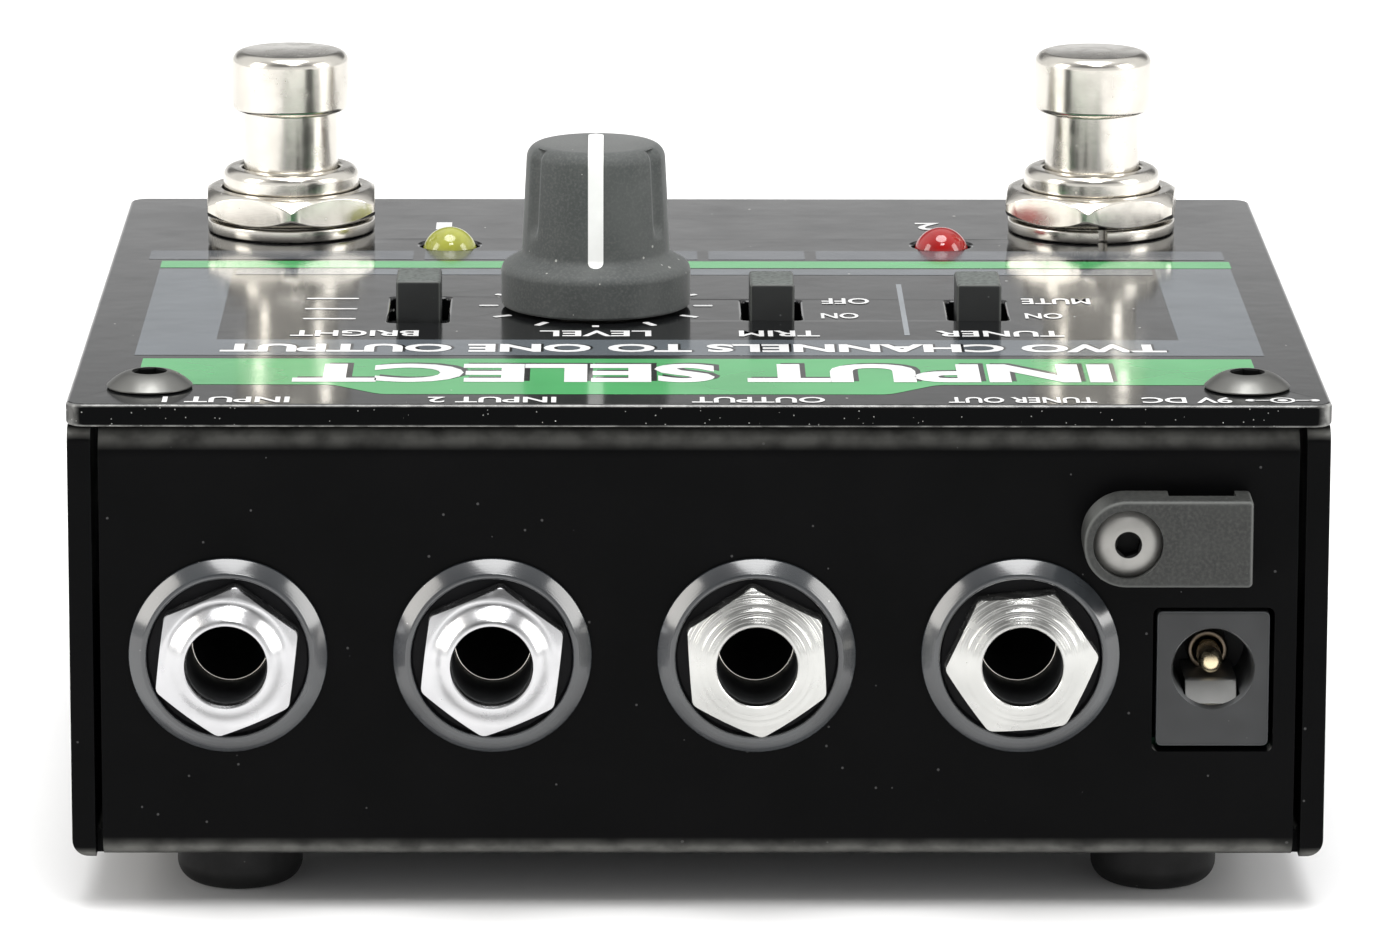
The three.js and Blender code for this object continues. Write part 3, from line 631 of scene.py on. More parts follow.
ZINC = metal("zinc_screw", "zinc_screw", (0.33, 0.325, 0.31), 0.5, marks=0.002,
             painted_shade_within=1.07)
TIN = metal("tinned_leaf", "spring_steel", (0.42, 0.42, 0.41), 0.4)
DULL_ZINC = metal("dull_zinc", "zinc_screw", (0.19, 0.19, 0.18), 0.4, marks=0.002,
                  painted_shade_within=1.41)
STEEL = metal("spring_steel", "spring_steel", (0.6, 0.6, 0.61), 0.28)
BRASS = metal("brass", "brass", (0.8, 0.68, 0.45), 0.22)
DARK_METAL = metal("dark_metal", "spring_steel", (0.16, 0.13, 0.1), 0.3)
NYLON = washer_nylon()
MOULDED = plastic("moulded_black", "moulded_black", (0.02, 0.021, 0.022), 0.5)
CLAMP_PLASTIC = plastic("clamp_plastic", "moulded_black", (0.012, 0.013, 0.012), 0.6,
                        grain=0.014, grain_size=0.22, lighter=1.7, dust=0.3,
                        wear_and_edge_highlight=(0.075, 0.078, 0.074), grainy=(0.036, 0.037, 0.034))
INLET_PLASTIC = plastic("inlet_plastic", "moulded_black", (0.018, 0.019, 0.02), 0.5,
                        grain_size=0.3, wear_and_edge_highlight=(0.12, 0.125, 0.13))
SLIDER_PLASTIC = plastic("slider_plastic", "moulded_black", (0.009, 0.01, 0.01), 0.45,
                         grain=0.006, grain_size=0.2, dust_and_top_reflection=(0.12, 0.135, 0.125),
                         wear_and_edge_highlight=(0.07, 0.075, 0.07))
SOFT_TOUCH = soft_touch()
RUBBER = rubber()
INLAY = plastic("white_inlay", "white_inlay", (0.8, 0.8, 0.79), 0.45, grain_size=0.5,
                lighter=1.1, dust=0.0)
YELLOW = lens("yellow_lens", "yellow_lens", (0.5, 0.52, 0.08))
RED = lens("red_lens", "red_lens", (0.5, 0.012, 0.012))
BOARD = circuit_board()
RIBBON = ribbon()


# ---- chassis tray ----


SCREW_HOLE = 1.65


def tray():
    """The floor, panel and back wall in one fold, with a wall at each side."""
    bend, inner = 2.5, 2.5 - SHEET
    half, edge = 48.7, TRAY.high.x
    front_flange, back_flange = PANEL_Y + 10.6, BACK_Y - 6
    low, high = FLOOR_Z, FLANGE_Z
    section = [
        (PANEL_Y, low, bend), (BACK_Y, low, bend), (BACK_Y, high, bend),
        (back_flange, high), (back_flange, high - SHEET),
        (BACK_Y - SHEET, high - SHEET, inner), (BACK_Y - SHEET, low + SHEET, inner),
        (PANEL_Y + SHEET, low + SHEET, inner), (PANEL_Y + SHEET, high - SHEET, inner),
        (front_flange, high - SHEET), (front_flange, high), (PANEL_Y, high, bend),
    ]
    spine = placed(plate([rounded(section, steps=10)], -half, half), ALONG_X)
    wall = rounded([
        (edge, low, bend), (edge, high), (edge - SHEET, high),
        (edge - SHEET, low + SHEET, inner), (half - 1, low + SHEET), (half - 1, low),
    ], steps=10)
    mirrored = [(-x, z) for x, z in reversed(wall)]
    corners = placed(plate([rectangle(PANEL_Y, low, BACK_Y, high, 1.3, 8)], -edge - 1, edge + 1),
                     ALONG_X)
    clear = edge - SHEET
    slits = [
        block((-clear, y0, low - 1), (clear, y1, high + 1))
        for y0, y1 in ((PANEL_Y - 1, PANEL_Y + bend), (BACK_Y - bend, BACK_Y + 1))
    ]
    walls = []
    for outline in (mirrored, wall):
        side = placed(plate([outline], -BACK_Y, -PANEL_Y), FACING_OUT)
        walls.append(combined(combined(side, corners, operation="INTERSECT"), *slits))
    inlet, clamp_screw = Box("dc_inlet"), Box("clamp_screw")
    holes = [circle(Box("jack_nut_" + name).x, Box("jack_nut_" + name).z, 4.9) for name in JACKS]
    holes.append(rectangle(inlet.x - 4.95, inlet.z - 6.05, inlet.x + 4.95, inlet.z + 6.05, 0.6))
    holes.append(circle(clamp_screw.x, clamp_screw.z, SCREW_HOLE, 32))
    spine = combined(spine, *(placed(plate([hole], -3, 1), on_panel(0, 0)) for hole in holes))
    for side in SIDES:
        spot = Box("lid_screw_" + side)
        drilled = circle(spot.x, spot.y, SCREW_HOLE, 32)
        spine = combined(spine, plate([drilled], high - 8, high + 1))
    return softened(combined(spine, *walls, operation="UNION"), 0.22, 3)


piece("tray_shell", tray(), POWDER, stands_for=["chassis_tray"])

# ---- top cover ----

KNOB = Box("level_knob")
HANDLES = {name: Box(name + "_switch_handle") for name in SLIDERS}
HANDLE_HALF = 3.05
SLOT_HALF = 2.5
# How far each slot runs on past its handle, in front and behind.
SLOT_ENDS = {"bright": (2.5, 2.5), "trim": (0.1, 2.5), "tuner": (0.1, 2.5)}


def slot_outline(name):
    handle = HANDLES[name]
    front, back = SLOT_ENDS[name]
    return rectangle(handle.x - SLOT_HALF, handle.y - HANDLE_HALF - front,
                     handle.x + SLOT_HALF, handle.y + HANDLE_HALF + back, 0.5)


def hole_under(node, radius, steps=48):
    spot = Box(node)
    return circle(spot.x, spot.y, radius, steps)


def top_cover():
    loops = [rectangle(LID.low.x, LID_FRONT, LID.high.x, LID_BACK, 1.6, 10)]
    for side in SIDES:
        loops.append(hole_under("footswitch_button_" + side, 6.3, 64))
        loops.append(hole_under("lid_screw_" + side, 1.7, 32))
    loops.append(hole_under("level_knob", 3.7))
    loops += [hole_under("led_" + lamp, 2.6) for lamp in LAMPS]
    loops += [slot_outline(name) for name in SLIDERS]
    sheet = plate(loops, LID_BOTTOM, LID_TOP, 0.32, 4)
    top = FLANGE_Z - SHEET - 0.4
    front = BACK_Y - 8.2
    hook = [(front, top - 1.6, 1), (front + 5.5, top - 1.6), (front + 5.5, top),
            (front + 1.6, top, 0.4), (front + 1.6, LID_BOTTOM + 0.2), (front, LID_BOTTOM + 0.2)]
    hooks = [placed(plate([rounded(hook)], x, x + 10, 0.15, 2), ALONG_X) for x in (-19, 9)]
    return joined(sheet, *hooks)


piece("lid_sheet", top_cover(), GLOSS, stands_for=["top_cover"])

# ---- printed artwork: thin layers of ink on the lid ----

INKS = {"white": INK_WHITE, "green": INK_GREEN, "grey": INK_GREY, "dim": INK_DIM,
        "pale": INK_PALE, "black": INK_BLACK}
INK = 0.012  # one layer's thickness
SHADOW_LIFT, LINE_LIFT, MARK_LIFT, WORD_LIFT = 0.012, 0.02, 0.024, 0.026
layers = {colour: [] for colour in INKS}


def printed(colour, outlines, lift=0.0, where=Matrix.Identity(4)):
    low = LID_TOP + INK / 2 + lift
    layers[colour].append(placed(plate(outlines, low, low + INK), where))


def band(colour, x0, back0, x1, back1, radius=0.0, lift=0.0):
    printed(colour, [rectangle(x0, LID_FRONT + back0, x1, LID_FRONT + back1, radius)], lift)


def words(text, x0, back0, x1, back1, colour="white", lift=WORD_LIFT, bold=0.02):
    """Capitals that fill a rectangle, upright for a player who stands behind the pedal."""
    curve = bpy.data.curves.new("text", "FONT")
    curve.body = text
    curve.align_x, curve.align_y = "CENTER", "CENTER"
    curve.offset = bold
    curve.extrude = INK / 2
    curve.resolution_u = 4
    mesh = solid_from_curve(curve)
    xs = [v.co.x for v in mesh.vertices]
    ys = [v.co.y for v in mesh.vertices]
    wide, tall = max(xs) - min(xs), max(ys) - min(ys)
    middle = Matrix.Translation((-(max(xs) + min(xs)) / 2, -(max(ys) + min(ys)) / 2, 0))
    fit = Matrix.Diagonal(((x1 - x0) / wide, (back1 - back0) / tall, 1, 1))
    spot = at((x0 + x1) / 2, LID_FRONT + (back0 + back1) / 2, LID_TOP + INK + lift, 180)
    layers[colour].append(placed(mesh, spot @ fit @ middle))


def lid_art():
    frame_line = [(-46.8, 19.8), (47.2, 19.8), (47.2, 57.7), (40.5, 57.7), (40.5, 26.3),
                  (-40.3, 26.3), (-40.3, 57.4), (-46.8, 57.4)]
    printed("grey", [[(x, LID_FRONT + back) for x, back in frame_line]])
    for x0, x1 in ((-48, -24.7), (-23.7, 0.4), (1.4, 9.9), (10.9, 47)):
        band("dim", x0, 61.8, x1, 65.8, 0.2)
    band("green", -46.8, 57.9, 47.3, 61)
    band("grey", -40, 54.8, 40.2, 57.4)
    banner = [(-46, 18.4), (-46, 7.9), (-30, 7.9, 2), (-26, 4.1, 2), (15.5, 4.1, 2),
              (19.5, 7.9, 2), (46, 7.9), (46, 18.4)]
    printed("green", [rounded([(x, LID_FRONT + back, *radius) for x, back, *radius in banner])])
    for back in (43.9, 39.4, 35.1):
        band("white", -33.4, back - 0.25, -28.9, back + 0.25, 0.2, LINE_LIFT)
    band("pale", 17.55, 28.3, 18.0, 50.6)


def lid_words():
    for text, x0, back0, x1, back1, bold, aside, behind in (
        ("INPUT SELECT", -33.3, 8.8, 34, 16.2, 0.04, 0.4, 0.5),
        ("TWO CHANNELS TO ONE OUTPUT", -39.8, 21.1, 39.2, 24.4, 0.035, 0.2, 0.2),
    ):
        words(text, x0 + aside, back0 + behind, x1 + aside, back1 + behind, "black",
              SHADOW_LIFT, bold + 0.005)
        words(text, x0, back0, x1, back1, bold=bold)
    for text, x0, x1 in (("INPUT 1", -43.5, -33.2), ("INPUT 2", -22, -11.6),
                         ("OUTPUT", -0.6, 10.2), ("TUNER OUT", 20.2, 32.2),
                         ("9V DC", 35.9, 43.2)):
        words(text, x0, 0.75, x1, 2.95)
    for text, x0, x1 in (("BRIGHT", -34.2, -23.4), ("LEVEL", -13.2, -3.8), ("TRIM", 3.6, 10.4),
                         ("TUNER", 20.2, 31)):
        words(text, x0, 27.7, x1, 30.1)
    for text, x0, x1, back0, back1 in (
        ("OFF", 10.9, 15, 41.7, 44.2), ("ON", 10.7, 13.9, 35.4, 37.7),
        ("MUTE", 28.1, 34, 41.7, 44.2), ("ON", 28.1, 31.3, 35.4, 37.7),
        ("1", -23, -21.6, 75.9, 79.3), ("2", 20.2, 22.4, 75.9, 79.3),
    ):
        words(text, x0, back0, x1, back1)


def knob_ticks():
    for degrees in range(-120, 121, 30):
        inner, outer = (8.6, 9.3) if degrees == 0 else (8.35, 10.0)
        printed("white", [rectangle(inner, -0.3, outer, 0.3, 0.15)], MARK_LIFT,
                at(KNOB.x, KNOB.y, 0, degrees - 90))


def polarity_mark():
    """Centre pin and ring, the usual mark beside a power inlet."""
    x, y, dot = 47.3, LID_FRONT + 1.85, 0.42
    for side in (-1, 1):
        near, far = sorted((x + side * 1.0, x + side * 2.4))
        printed("white", [circle(x + side * 2.6, y, dot, 24)], MARK_LIFT)
        printed("white", [rectangle(near, y - 0.12, far, y + 0.12)], MARK_LIFT)
    printed("white", [circle(x, y, 1.05, 40), circle(x, y, 0.75, 40)], MARK_LIFT)
    printed("white", [circle(x, y, dot, 24)], MARK_LIFT)


lid_art()
lid_words()
knob_ticks()
polarity_mark()
for colour, finish in INKS.items():
    piece("print_" + colour, joined(*layers[colour]), finish)

# ---- screws ----


def button_head(head, rise, shank, length, socket, flange=0.24):
    """A screw with a domed head of that radius and rise, and a hexagonal socket."""
    profile = [(0, -length), (shank - 0.3, -length), (shank, -length + 0.3), (shank, 0.1),
               (head - 0.05, 0.1), (head, 0.15), (head, flange)]
    dome_steps = 14
    for k in range(1, dome_steps + 1):
        t = k / dome_steps
        profile.append((head - head * 0.58 * t, flange + (rise - flange) * (1 - (1 - t) ** 1.75)))
    profile.append((0, rise))
    corner = socket / math.sqrt(3)
    socket_cut = plate([hexagon(socket)], rise - 1.35, rise + 1)
    countersink = lathe([(0, rise - 0.12), (corner - 0.08, rise - 0.12),
                         (corner + 0.2, rise + 0.2), (0, rise + 0.2)], 48)
    return radial(combined(lathe(profile, 72), socket_cut, countersink))


for side, turn in (("left", 12), ("right", 41)):
    node = "lid_screw_" + side
    piece("cover_screw_" + side, button_head(3.5, Box(node).high.z - LID_TOP, 1.5, 8, 2.4),
          DULL_ZINC, stands_for=[node], where=on_lid(node, turn))

# ---- rubber feet ----

FOOT = Box("foot_front_left")
foot_radius, foot_height = (FOOT.high.x - FOOT.low.x) / 2, FOOT.high.z
foot_mesh = lathe(
    rounded([(0, 0.25), (1.2, 0.25, 0.2), (1.5, 0, 0.2), (foot_radius, 0, 2.7),
             (foot_radius, foot_height, 0.15), (0, foot_height)], closed=False, steps=12), 96
)
for end in ("front", "back"):
    for side in SIDES:
        node = f"foot_{end}_{side}"
        piece(f"rubber_foot_{end}_{side}", foot_mesh, RUBBER, stands_for=[node],
              where=at(Box(node).x, Box(node).y, 0))

# ---- jacks ----


def hex_nut(across_flats, low, face, bore, rings, corner=0.985, back=None):
    """A hex nut about Z whose front is turned: face(radius) gives its height, and back(radius)
    that of its other side. The corners reach that share of a sharp hexagon's."""
    back = back or (lambda radius: low)
    flat, point = across_flats / 2, across_flats / math.sqrt(3) * corner
    last, sides, loops = flat * 0.96, 144, []

    def side(angle):
        off = (angle + math.pi / 6) % (math.pi / 3) - math.pi / 6
        return min(flat / math.cos(off), point)

    def ring(radius_of, height_of):
        angles = (2 * math.pi * k / sides for k in range(sides))
        polar = [(radius_of(a), a) for a in angles]
        loops.append([(r * math.cos(a), r * math.sin(a), height_of(r)) for r, a in polar])

    ring(lambda a: bore, lambda r: low)
    ring(lambda a: bore, lambda r: face(bore) - 0.08)
    ring(lambda a: bore + 0.08, face)
    for radius in rings:
        if bore < radius < last:
            ring(lambda a: radius, face)
    for share in (0.0, 0.35, 0.7, 0.93):
        ring(lambda a: last + (side(a) - last) * share, face)
    ring(side, lambda r: face(r) - 0.07)
    ring(side, lambda r: back(r) + 0.07)
    for share in (0.93, 0.7, 0.35, 0.0):
        ring(lambda a: last + (side(a) - last) * share, back)
    return radial(loft(loops, closed=True))


NUT_BACK, NUT_FRONT, NUT_BORE = 0.7, 4.4, 3.3


def smooth_face(radius):
    """A rounded lip round the bore that runs out in one smooth hollow to the corners."""
    share = min(1.0, max(0.0, (radius - 3.45) / 1.75))
    dish = 1.15 * share * share * (3 - 2 * share)
    lip = 0.12 * max(0.0, 1 - (radius - NUT_BORE) / 0.2)
    corner = 0.5 * max(0.0, radius - 5.35)
    return NUT_FRONT - dish - lip - corner


def cone_face(radius):
    """A flat-sided cone from a narrow lip out to the corners."""
    return NUT_FRONT - 0.5 * max(0.0, radius - 3.5)


fine_rings = [NUT_BORE + 0.08 * k for k in range(30)]
smooth_nut, cone_nut = (hex_nut(11, NUT_BACK, face, NUT_BORE, fine_rings)
                        for face in (smooth_face, cone_face))
# Each jack's nut, its finish and how far it is turned, in degrees.
JACK_NUTS = {
    "input_1": (smooth_nut, CHROME, -7), "input_2": (smooth_nut, CHROME, -7),
    "output": (cone_nut, CHROME_TURNED, 4), "tuner": (cone_nut, CHROME_TURNED, -25),
}

washer_mesh = lathe(
    rounded([(4.8, 0.05), (8.1, 0.05, 0.1), (8.1, 0.42, 0.2), (6.95, 1.4, 0.5), (6.6, 1.4, 0.15),
             (6.5, 0.6, 0.15), (4.8, 0.6)], steps=6), 128, closed=True
)


def jack_socket():
    start, end, bottom = -2.1, -26.5, -25.3
    housing = plate([rectangle(-7.7, -7.2, 7.7, 7.2, 0.4)], end, start, 0.2)
    nose = lathe([(0, start - 0.5), (4.65, start - 0.5), (4.65, 3.0), (4.5, 3.2), (0, 3.2)], 64)
    bore = lathe([(0, bottom), (3.25, bottom), (3.25, 5), (0, 5)], 64)
    pocket = block((-1.6, 0, bottom), (1.6, 5.6, -9))
    return combined(combined(housing, nose, operation="UNION"), bore, pocket)


socket_mesh = jack_socket()
bore_rim = lathe(
    rounded([(3.24, -4.5), (3.24, -4.1), (3.1, -4.1), (3.1, -4.5)], 0.02, steps=2), 96, closed=True
)
for name in JACKS:
    axis = Box("jack_nut_" + name)
    where = on_panel(axis.x, axis.z)
    mesh, finish, turn = JACK_NUTS[name]
    piece("socket_" + name, socket_mesh, MOULDED, stands_for=["jack_" + name], where=where)
    piece("socket_rim_" + name, bore_rim, NICKEL, where=where)
    piece("socket_washer_" + name, washer_mesh, NYLON, stands_for=["jack_washer_" + name],
          where=where)
    piece("socket_nut_" + name, mesh, finish, stands_for=["jack_nut_" + name],
          where=on_panel(axis.x, axis.z, turn=turn), crease=28)

# ---- power inlet ----

INLET, PIN = Box("dc_inlet"), Box("dc_pin")


def inlet_block():
    rise = PIN.z - INLET.z
    outer = rectangle(-4.6, -5.65, 4.6, 5.65, 0.5)
    block_mesh = plate([outer], -14.8, -0.3, 0.18)
    hole = lathe([(0, -9.8), (3.25, -9.8), (3.25, -0.75), (3.45, -0.25), (3.45, 1), (0, 1)], 72)
    pocket = block((-2.3, -4, -9.8), (2.3, 0, -1.1))
    lift = Matrix.Translation((0, rise, 0))
    return combined(block_mesh, placed(hole, lift), placed(pocket, lift))


piece("inlet_block", inlet_block(), INLET_PLASTIC, stands_for=["dc_inlet"],
      where=on_panel(INLET.x, INLET.z))
pin_axis = on_panel(PIN.x, PIN.z)
piece("inlet_pin", lathe([(0, -9.7), (1, -9.7), (1, -3.1), (0.96, -2.8), (0.84, -2.5), (0.6, -2.3),
                          (0.3, -2.22), (0, -2.2)], 48), BRASS, stands_for=["dc_pin"], where=pin_axis)
collar = rounded([(1.15, -9.7), (1.7, -9.7), (1.7, -6.6), (1.15, -6.6)], 0.2, steps=4)
piece("inlet_collar", lathe(collar, 64, closed=True), DARK_METAL, where=pin_axis)


def normals(path):
    """The direction square to a path at each of its points."""
    ends = [path[0], *path, path[-1]]
    return [Vector((a[1] - b[1], b[0] - a[0])).normalized() for a, b in zip(ends, ends[2:])]


def leaf():
    """The sprung tongue under the pin, dimpled where the plug touches it."""
    half_width, half_thick = 2.1, 0.15
    line = rounded([(1.4, -3.6), (1.9, -3.4, 0.3), (2.9, -1.5, 0.4), (9.4, -1.6)], closed=False)
    corners = [(x * half_width, out * half_thick)
               for x, out in ((-1, 1), (1, 1), (1, -1), (-1, -1))]
    loops = [[(x, z + out * normal.y, -(depth + out * normal.x)) for x, out in corners]
             for (depth, z), normal in zip(line, normals(line))]
    return softened(loft(loops), 0.06)


piece("inlet_leaf", leaf(), TIN, stands_for=["dc_contact"], where=pin_axis)

# ---- cable clamp ----

CLAMP, CLAMP_SCREW = Box("cable_clamp"), Box("clamp_screw")


def clamp():
    left, right = CLAMP.low.x, CLAMP.high.x
    high = (CLAMP.high.z - CLAMP.low.z) / 2
    reach = PANEL_Y - CLAMP.low.y
    shape = rounded([(left, -high, high - 0.01), (right, -high, 0.4), (right, high, 0.4),
                     (left, high, high - 0.01)], steps=16)
    body = plate([shape], 0.1, reach, 0.4, 4)
    tunnel = block((37.93, -high - 2, -1), (43.38, high + 2, 2.4))
    seat = PANEL_Y - CLAMP_SCREW.low.y - 1.6
    hole = lathe([(0, -1), (1.7, -1), (1.7, seat), (2.84, seat), (2.84, reach + 1),
                  (0, reach + 1)], 64)
    bored = placed(hole, Matrix.Translation((CLAMP_SCREW.x, 0, 0)))
    return combined(body, tunnel, bored)


piece("cord_clamp", clamp(), CLAMP_PLASTIC, stands_for=["cable_clamp"],
      where=on_panel(0, CLAMP.z))
piece("clamp_bolt", button_head(2.8, 1.5, 1.45, 8.5, 1.8, 0.75), ZINC, stands_for=["clamp_screw"],
      where=on_panel(CLAMP_SCREW.x, CLAMP_SCREW.z, PANEL_Y - CLAMP_SCREW.low.y - 1.5, 18))

# ---- footswitches ----


def around(section, angle, rise=0.0):
    """A section drawn in radius and height, set at an angle about Z."""
    return [(r * math.cos(angle), r * math.sin(angle), z + rise) for r, z in section]


def lock_washer():
    """A split ring whose two ends stand a little apart."""
    inner, outer, low, high, gap, steps = 6.25, 7.5, 0.07, 1.12, 0.4, 192
    section = rounded([(inner, low), (outer, low), (outer, high), (inner, high)], 0.15, steps=3)
    slit = gap / outer
    sweep = 2 * math.pi - 2 * slit
    return radial(loft([around(section, slit + sweep * k / steps) for k in range(steps + 1)]))


def bushing():
    profile = rounded([(4.4, -9.2), (6.0, -9.2), (6.0, 3.7, 0.4), (6.08, 4.1, 0.3),
                       (6.08, 5.8, 1.3), (4.4, 5.8, 0.3)], steps=10)
    tube = lathe(profile, 96, closed=True)
    frame_plate = plate([rectangle(-8.3, -8.3, 8.3, 8.3, 1), circle(0, 0, 6.2)], -9.2, -7.4, 0.1)
    return radial(joined(tube, frame_plate))


def plunger():
    return lathe(
        rounded([(0, -9.4), (1.8, -9.4), (1.8, -1), (4.22, -1, 0.3), (4.22, 10.95, 0.2),
                 (5.22, 10.95, 0.6), (5.22, 16.25, 1.0), (0.01, 16.3), (0, 16.3)],
                closed=False, steps=8), 128)


def spring():
    turns, radius, wire, low, high = 5, 2.9, 0.35, -14.1, -1.6
    steps = turns * 40
    section = circle(radius, 0, wire, 10)
    return loft([around(section, 2 * math.pi * turns * k / steps, low + (high - low) * k / steps)
                 for k in range(steps + 1)])


def switch_nut():
    """A hex nut with the corners of both faces turned away."""
    low, high = 1.25, 3.95

    def fall(radius):
        return 0.62 * max(0.0, radius - 7.15) ** 1.3

    return hex_nut(15, low, lambda r: high - fall(r), 6.25, [6.35, 6.6, 6.9, 7.1], corner=0.99,
                   back=lambda r: low + fall(r))


nut_mesh, bushing_mesh, plunger_mesh, spring_mesh = switch_nut(), bushing(), plunger(), spring()
washer_ring = lock_washer()
for side, nut_turn, washer_turn in (("left", 2, 60), ("right", -6, 275)):
    node = "footswitch_button_" + side
    for part, mesh, turn, crease in (("washer", washer_ring, washer_turn, 35),
                                     ("nut", nut_mesh, nut_turn, 28),
                                     ("bushing", bushing_mesh, 0, 35)):
        piece(f"stomp_{part}_{side}", mesh, NICKEL, stands_for=[f"footswitch_{part}_{side}"],
              where=on_lid(node, turn), crease=crease)
    piece("stomp_button_" + side, plunger_mesh, NICKEL, side + "_button", [node], on_lid(node))
    coil = piece("stomp_spring_" + side, spring_mesh, STEEL,
                 stands_for=["footswitch_spring_" + side], where=on_lid(node))
    axis = Box(node)
    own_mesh(coil)

# ---- level knob ----


def knob_profile(steps=10):
    top = KNOB.high.z - LID_TOP
    return rounded([
        (3.15, 12.1), (3.15, 3.2), (6.2, 3.2), (6.2, 0.3), (8.1, 0.3, 0.25), (8.1, 3.7, 0.9),
        (6.35, 4.75, 0.8), (5.86, top - 0.1, 1.25), (0.01, top), (0, top),
    ], closed=False, steps=steps)


def fluted(angle, radius, height):
    """Shallow upright grooves in the knob's body, every 60 degrees but at the pointer."""
    if radius < 4.5 or height < 6.2 or height > 14:
        return radius
    half_width, deepest = 0.95, 0.5
    front = (angle + math.pi / 2) % (2 * math.pi)
    depth = 0.0
    for k in range(1, 6):
        off = abs(front - math.radians(60 * k)) * radius
        if off < half_width:
            depth = deepest * math.cos(off / half_width * math.pi / 2) ** 1.5
    fade = min(1.0, max(0.0, height - 6.6))
    return radius - depth * math.sqrt(fade)


def divided(path, longest, chosen=lambda a, b: True):
    """The same path with its chosen long runs cut into short ones."""
    out = [path[0]]
    for a, b in zip(path, path[1:]):
        cuts = max(1, math.ceil(math.dist(a, b) / longest)) if chosen(a, b) else 1
        out += [(a[0] + (b[0] - a[0]) * k / cuts, a[1] + (b[1] - a[1]) * k / cuts)
                for k in range(1, cuts + 1)]
    return out


def knob():
    shell = divided(knob_profile(), 0.35, lambda a, b: min(a[0], b[0]) > 4.5 and a[1] > 4)
    return lathe([(0, 12.1)] + shell, 240, shift=fluted)


def pointer():
    """A strip let into the knob, from behind its top's middle down to the skirt's shoulder."""
    top, half_width, steps_across = KNOB.high.z - LID_TOP, 0.65, 6
    line = [(-r, z) for r, z in knob_profile(16)
            if z > 4.3 and 0.01 < r < 7.6 and (r >= 3.2 or z >= 13)]
    path = divided(line + [(0, top), (3.7, top)], 0.12)
    along = [0.0]
    for a, b in zip(path, path[1:]):
        along.append(along[-1] + math.dist(a, b))
    shares = [2 * k / steps_across - 1 for k in range(steps_across + 1)]
    loops = []
    for (y, z), s, normal in zip(path, along, normals(path)):
        end = min(s, along[-1] - s)
        half = half_width * math.sqrt(max(0.03, 1 - max(0.0, 1 - end / half_width) ** 2))
        edge = [(share, 0.045 - 0.02 * share ** 2) for share in shares]
        edge += [(share, -0.4 - 0.02 * share ** 2) for share in reversed(shares)]
        loops.append([(half * share, y + normal.x * out, z + normal.y * out)
                      for share, out in edge])
    return loft(loops)


knob_place = on_lid("level_knob")
piece("knob_body", knob(), SOFT_TOUCH, "level_control", ["level_knob"], knob_place, 50)
piece("knob_line", pointer(), INLAY, "level_control", ["knob_pointer"], knob_place)

# ---- slide switch handles ----


def handle():
    """A moulded grip with rounded edges, on its slide plate."""
    top = HANDLES["bright"].high.z - LID_TOP
    grip = plate([rectangle(-1.9, -HANDLE_HALF, 1.9, HANDLE_HALF, 0.3)], -4.5, top, 0.28, 3)
    base = plate([rectangle(-3, -3.95, 3, 3.95, 0.2)], -6.2, -4, 0.1)
    return combined(grip, base, operation="UNION")


handle_mesh = handle()
for name in SLIDERS:
    node = name + "_switch_handle"
    piece(name + "_grip", handle_mesh, SLIDER_PLASTIC, name + "_handle", [node], on_lid(node))

# ---- lamps ----


def lamp():
    rise = Box("led_red").high.z - LID_TOP
    radius = 2.45
    profile = [(0, -6.5), (2.85, -6.5), (2.85, -5.6), (radius, -5.6)]
    for k in range(17):
        a = math.radians(90 * k / 16)
        profile.append((radius * math.cos(a), rise - radius + radius * math.sin(a)))
    return lathe(profile[:-1] + [(0, rise)], 72)


def lamp_leads():
    bottom = Box("led_red").low.z - LID_TOP
    return joined(*(block((x, -0.25, bottom), (x + 0.5, 0.25, -6.4), 0.05) for x in (-1.5, 1.0)))


lamp_mesh, leads_mesh = lamp(), lamp_leads()
for name, finish in (("yellow", YELLOW), ("red", RED)):
    node = "led_" + name
    piece("lamp_" + name, lamp_mesh, finish, stands_for=[node], where=on_lid(node))
    piece("lamp_leads_" + name, leads_mesh, STEEL, where=on_lid(node))

# ---- inner parts that keep their CAD shape ----

INNER = {
    "potentiometer": ZINC, "pot_shaft": STEEL, "pot_nut": NICKEL, "control_board": BOARD,
    "jack_board": BOARD, "ribbon_cable": RIBBON,
    **{"jack_contact_" + name: STEEL for name in JACKS},
    **{name + "_switch_housing": MOULDED for name in SLIDERS},
    **{"footswitch_casing_" + side: MOULDED for side in SIDES},
    **{"footswitch_jam_nut_" + side: NICKEL for side in SIDES},
}
for node, finish in INNER.items():
    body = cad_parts[node]
    body.data.materials.clear()
    body.data.materials.append(finish.material)

# ---- floor, light and camera ----


def floor_finish():
    f = Finish("floor_paper", "", (0.86, 0.86, 0.86), 0.75, Specular_IOR_Level=0.2)
    f.paint(f.span(f.noise(60), 0.3, 0.7), (0.84, 0.84, 0.845))
    return f.material


floor_plane = linked("floor", plate([rectangle(-3000, -3000, 3000, 3000)], -20, 0))
floor_plane.data.transform(Matrix.Scale(MM, 4))
floor_plane.data.materials.append(floor_finish())


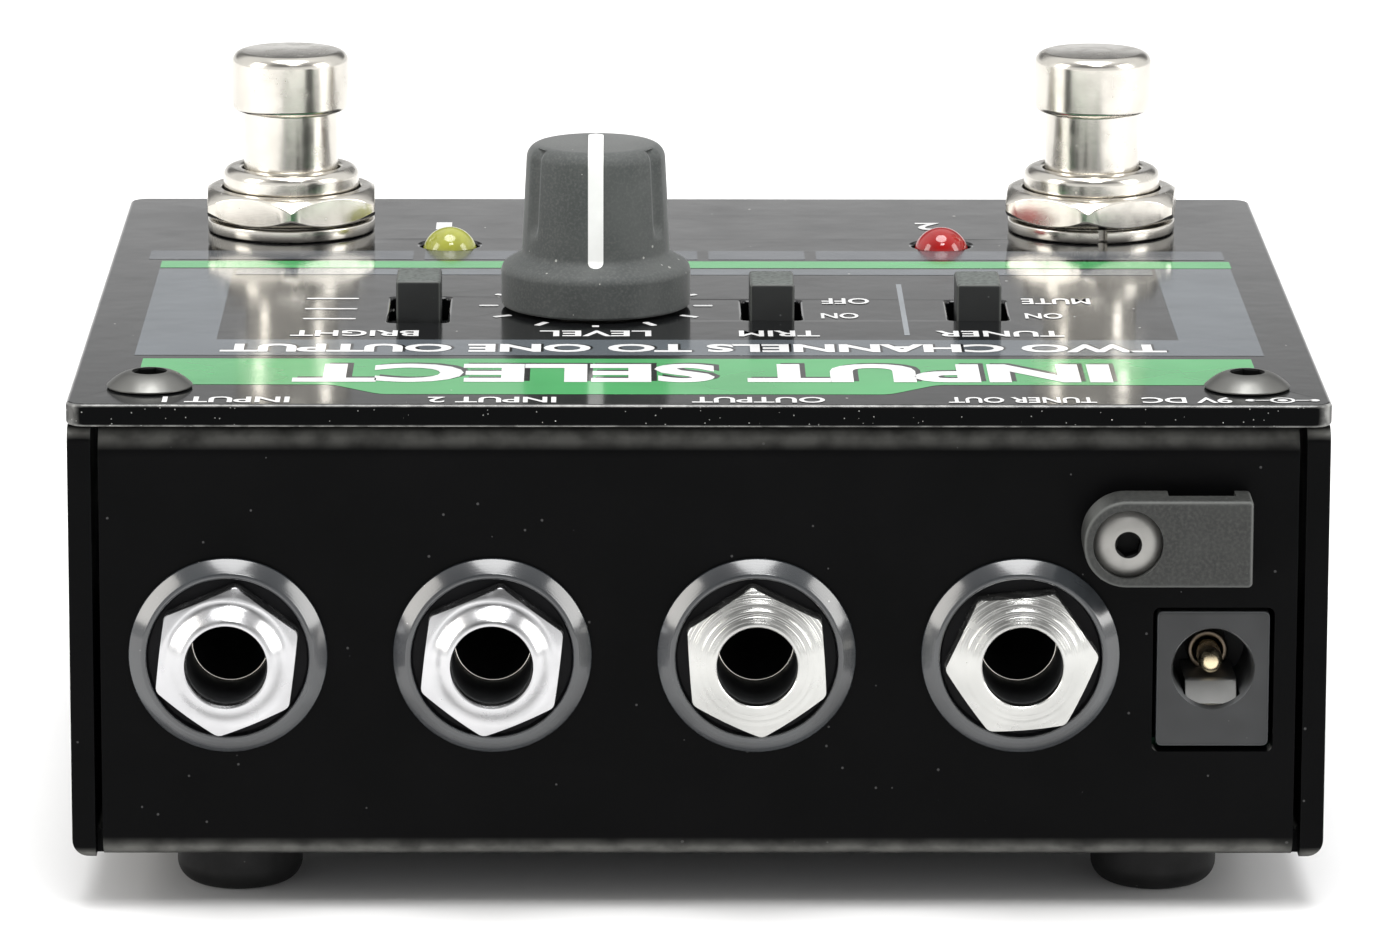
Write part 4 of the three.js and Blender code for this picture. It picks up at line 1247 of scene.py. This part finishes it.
def sky():
    """White all round but for a dark patch high in front and one low behind."""
    world = bpy.data.worlds.new("studio")
    bpy.context.scene.world = world
    world.use_nodes = True
    n = Nodes(world.node_tree)
    place = n.node("ShaderNodeTexCoord").outputs["Generated"]
    y, z = n.node("ShaderNodeSeparateXYZ", Vector=place).outputs[1:3]
    ahead = n.product(n.span(y, -0.75, 0.1, 1, 0), n.span(z, 0.25, 0.6))
    behind = n.product(n.span(y, 0.6, 0.8), n.span(z, 0.165, 0.232), n.span(z, 0.45, 0.65, 1, 0))
    strength = n.product(n.span(ahead, 0, 1, 1, 0.1), n.span(behind, 0, 1, 1, 0.15))
    background = n.tree.nodes["Background"]
    n.feed(background.inputs["Strength"], strength)
    background.inputs["Color"].default_value = (1, 1, 1, 1)


def hang(name, data, place):
    """A light at a place in metres, aimed at the middle of the pedal."""
    aim = Vector((0, 0, 0.03))
    light = linked(name, data)
    light.location = place
    light.rotation_euler = (aim - Vector(place)).to_track_quat("-Z", "Y").to_euler()


def soft_light(name, place, width, height, power, tint=(1, 1, 1)):
    data = bpy.data.lights.new(name, "AREA")
    data.shape = "RECTANGLE"
    data.size, data.size_y = width, height
    data.energy = power
    data.color = tint
    hang(name, data, place)


def round_ceiling_light(name, place, degrees, strength):
    """A wide round light so far off that it lights all of the floor alike."""
    data = bpy.data.lights.new(name, "SUN")
    data.angle = math.radians(degrees)
    data.energy = strength
    hang(name, data, place)


sky()
round_ceiling_light("overhead", (0.0, -0.12, 0.9), 36, 2.3)
soft_light("left_side", (-0.8, -0.25, 0.42), 0.35, 0.6, 3.2, (1.0, 0.97, 0.92))
soft_light("right_side", (0.8, -0.25, 0.42), 0.35, 0.6, 3.4, (1.0, 0.99, 0.97))
soft_light("front_fill", (0.1, -0.62, 0.95), 0.3, 0.15, 1.8)


def add_camera():
    """A long lens in front of the panel, looking a little down on the lid."""
    pitch, yaw, roll = 12.417, 0.585, 0.170
    place = Vector((-6.446, -680.15, 177.60)) * MM
    tilt = Matrix.Rotation(math.radians(90 - pitch), 4, "X")
    data = bpy.data.cameras.new("camera")
    data.lens, data.sensor_width = 207.0, 36.0
    data.clip_start, data.clip_end = 0.05, 20
    camera = linked("camera", data)
    camera.matrix_world = at(*place, -yaw) @ tilt @ at(0, 0, 0, roll)
    bpy.context.scene.camera = camera


add_camera()
bpy.context.scene.view_settings.view_transform = "Standard"
bpy.context.scene.view_settings.look = "None"

bpy.context.view_layer.update()
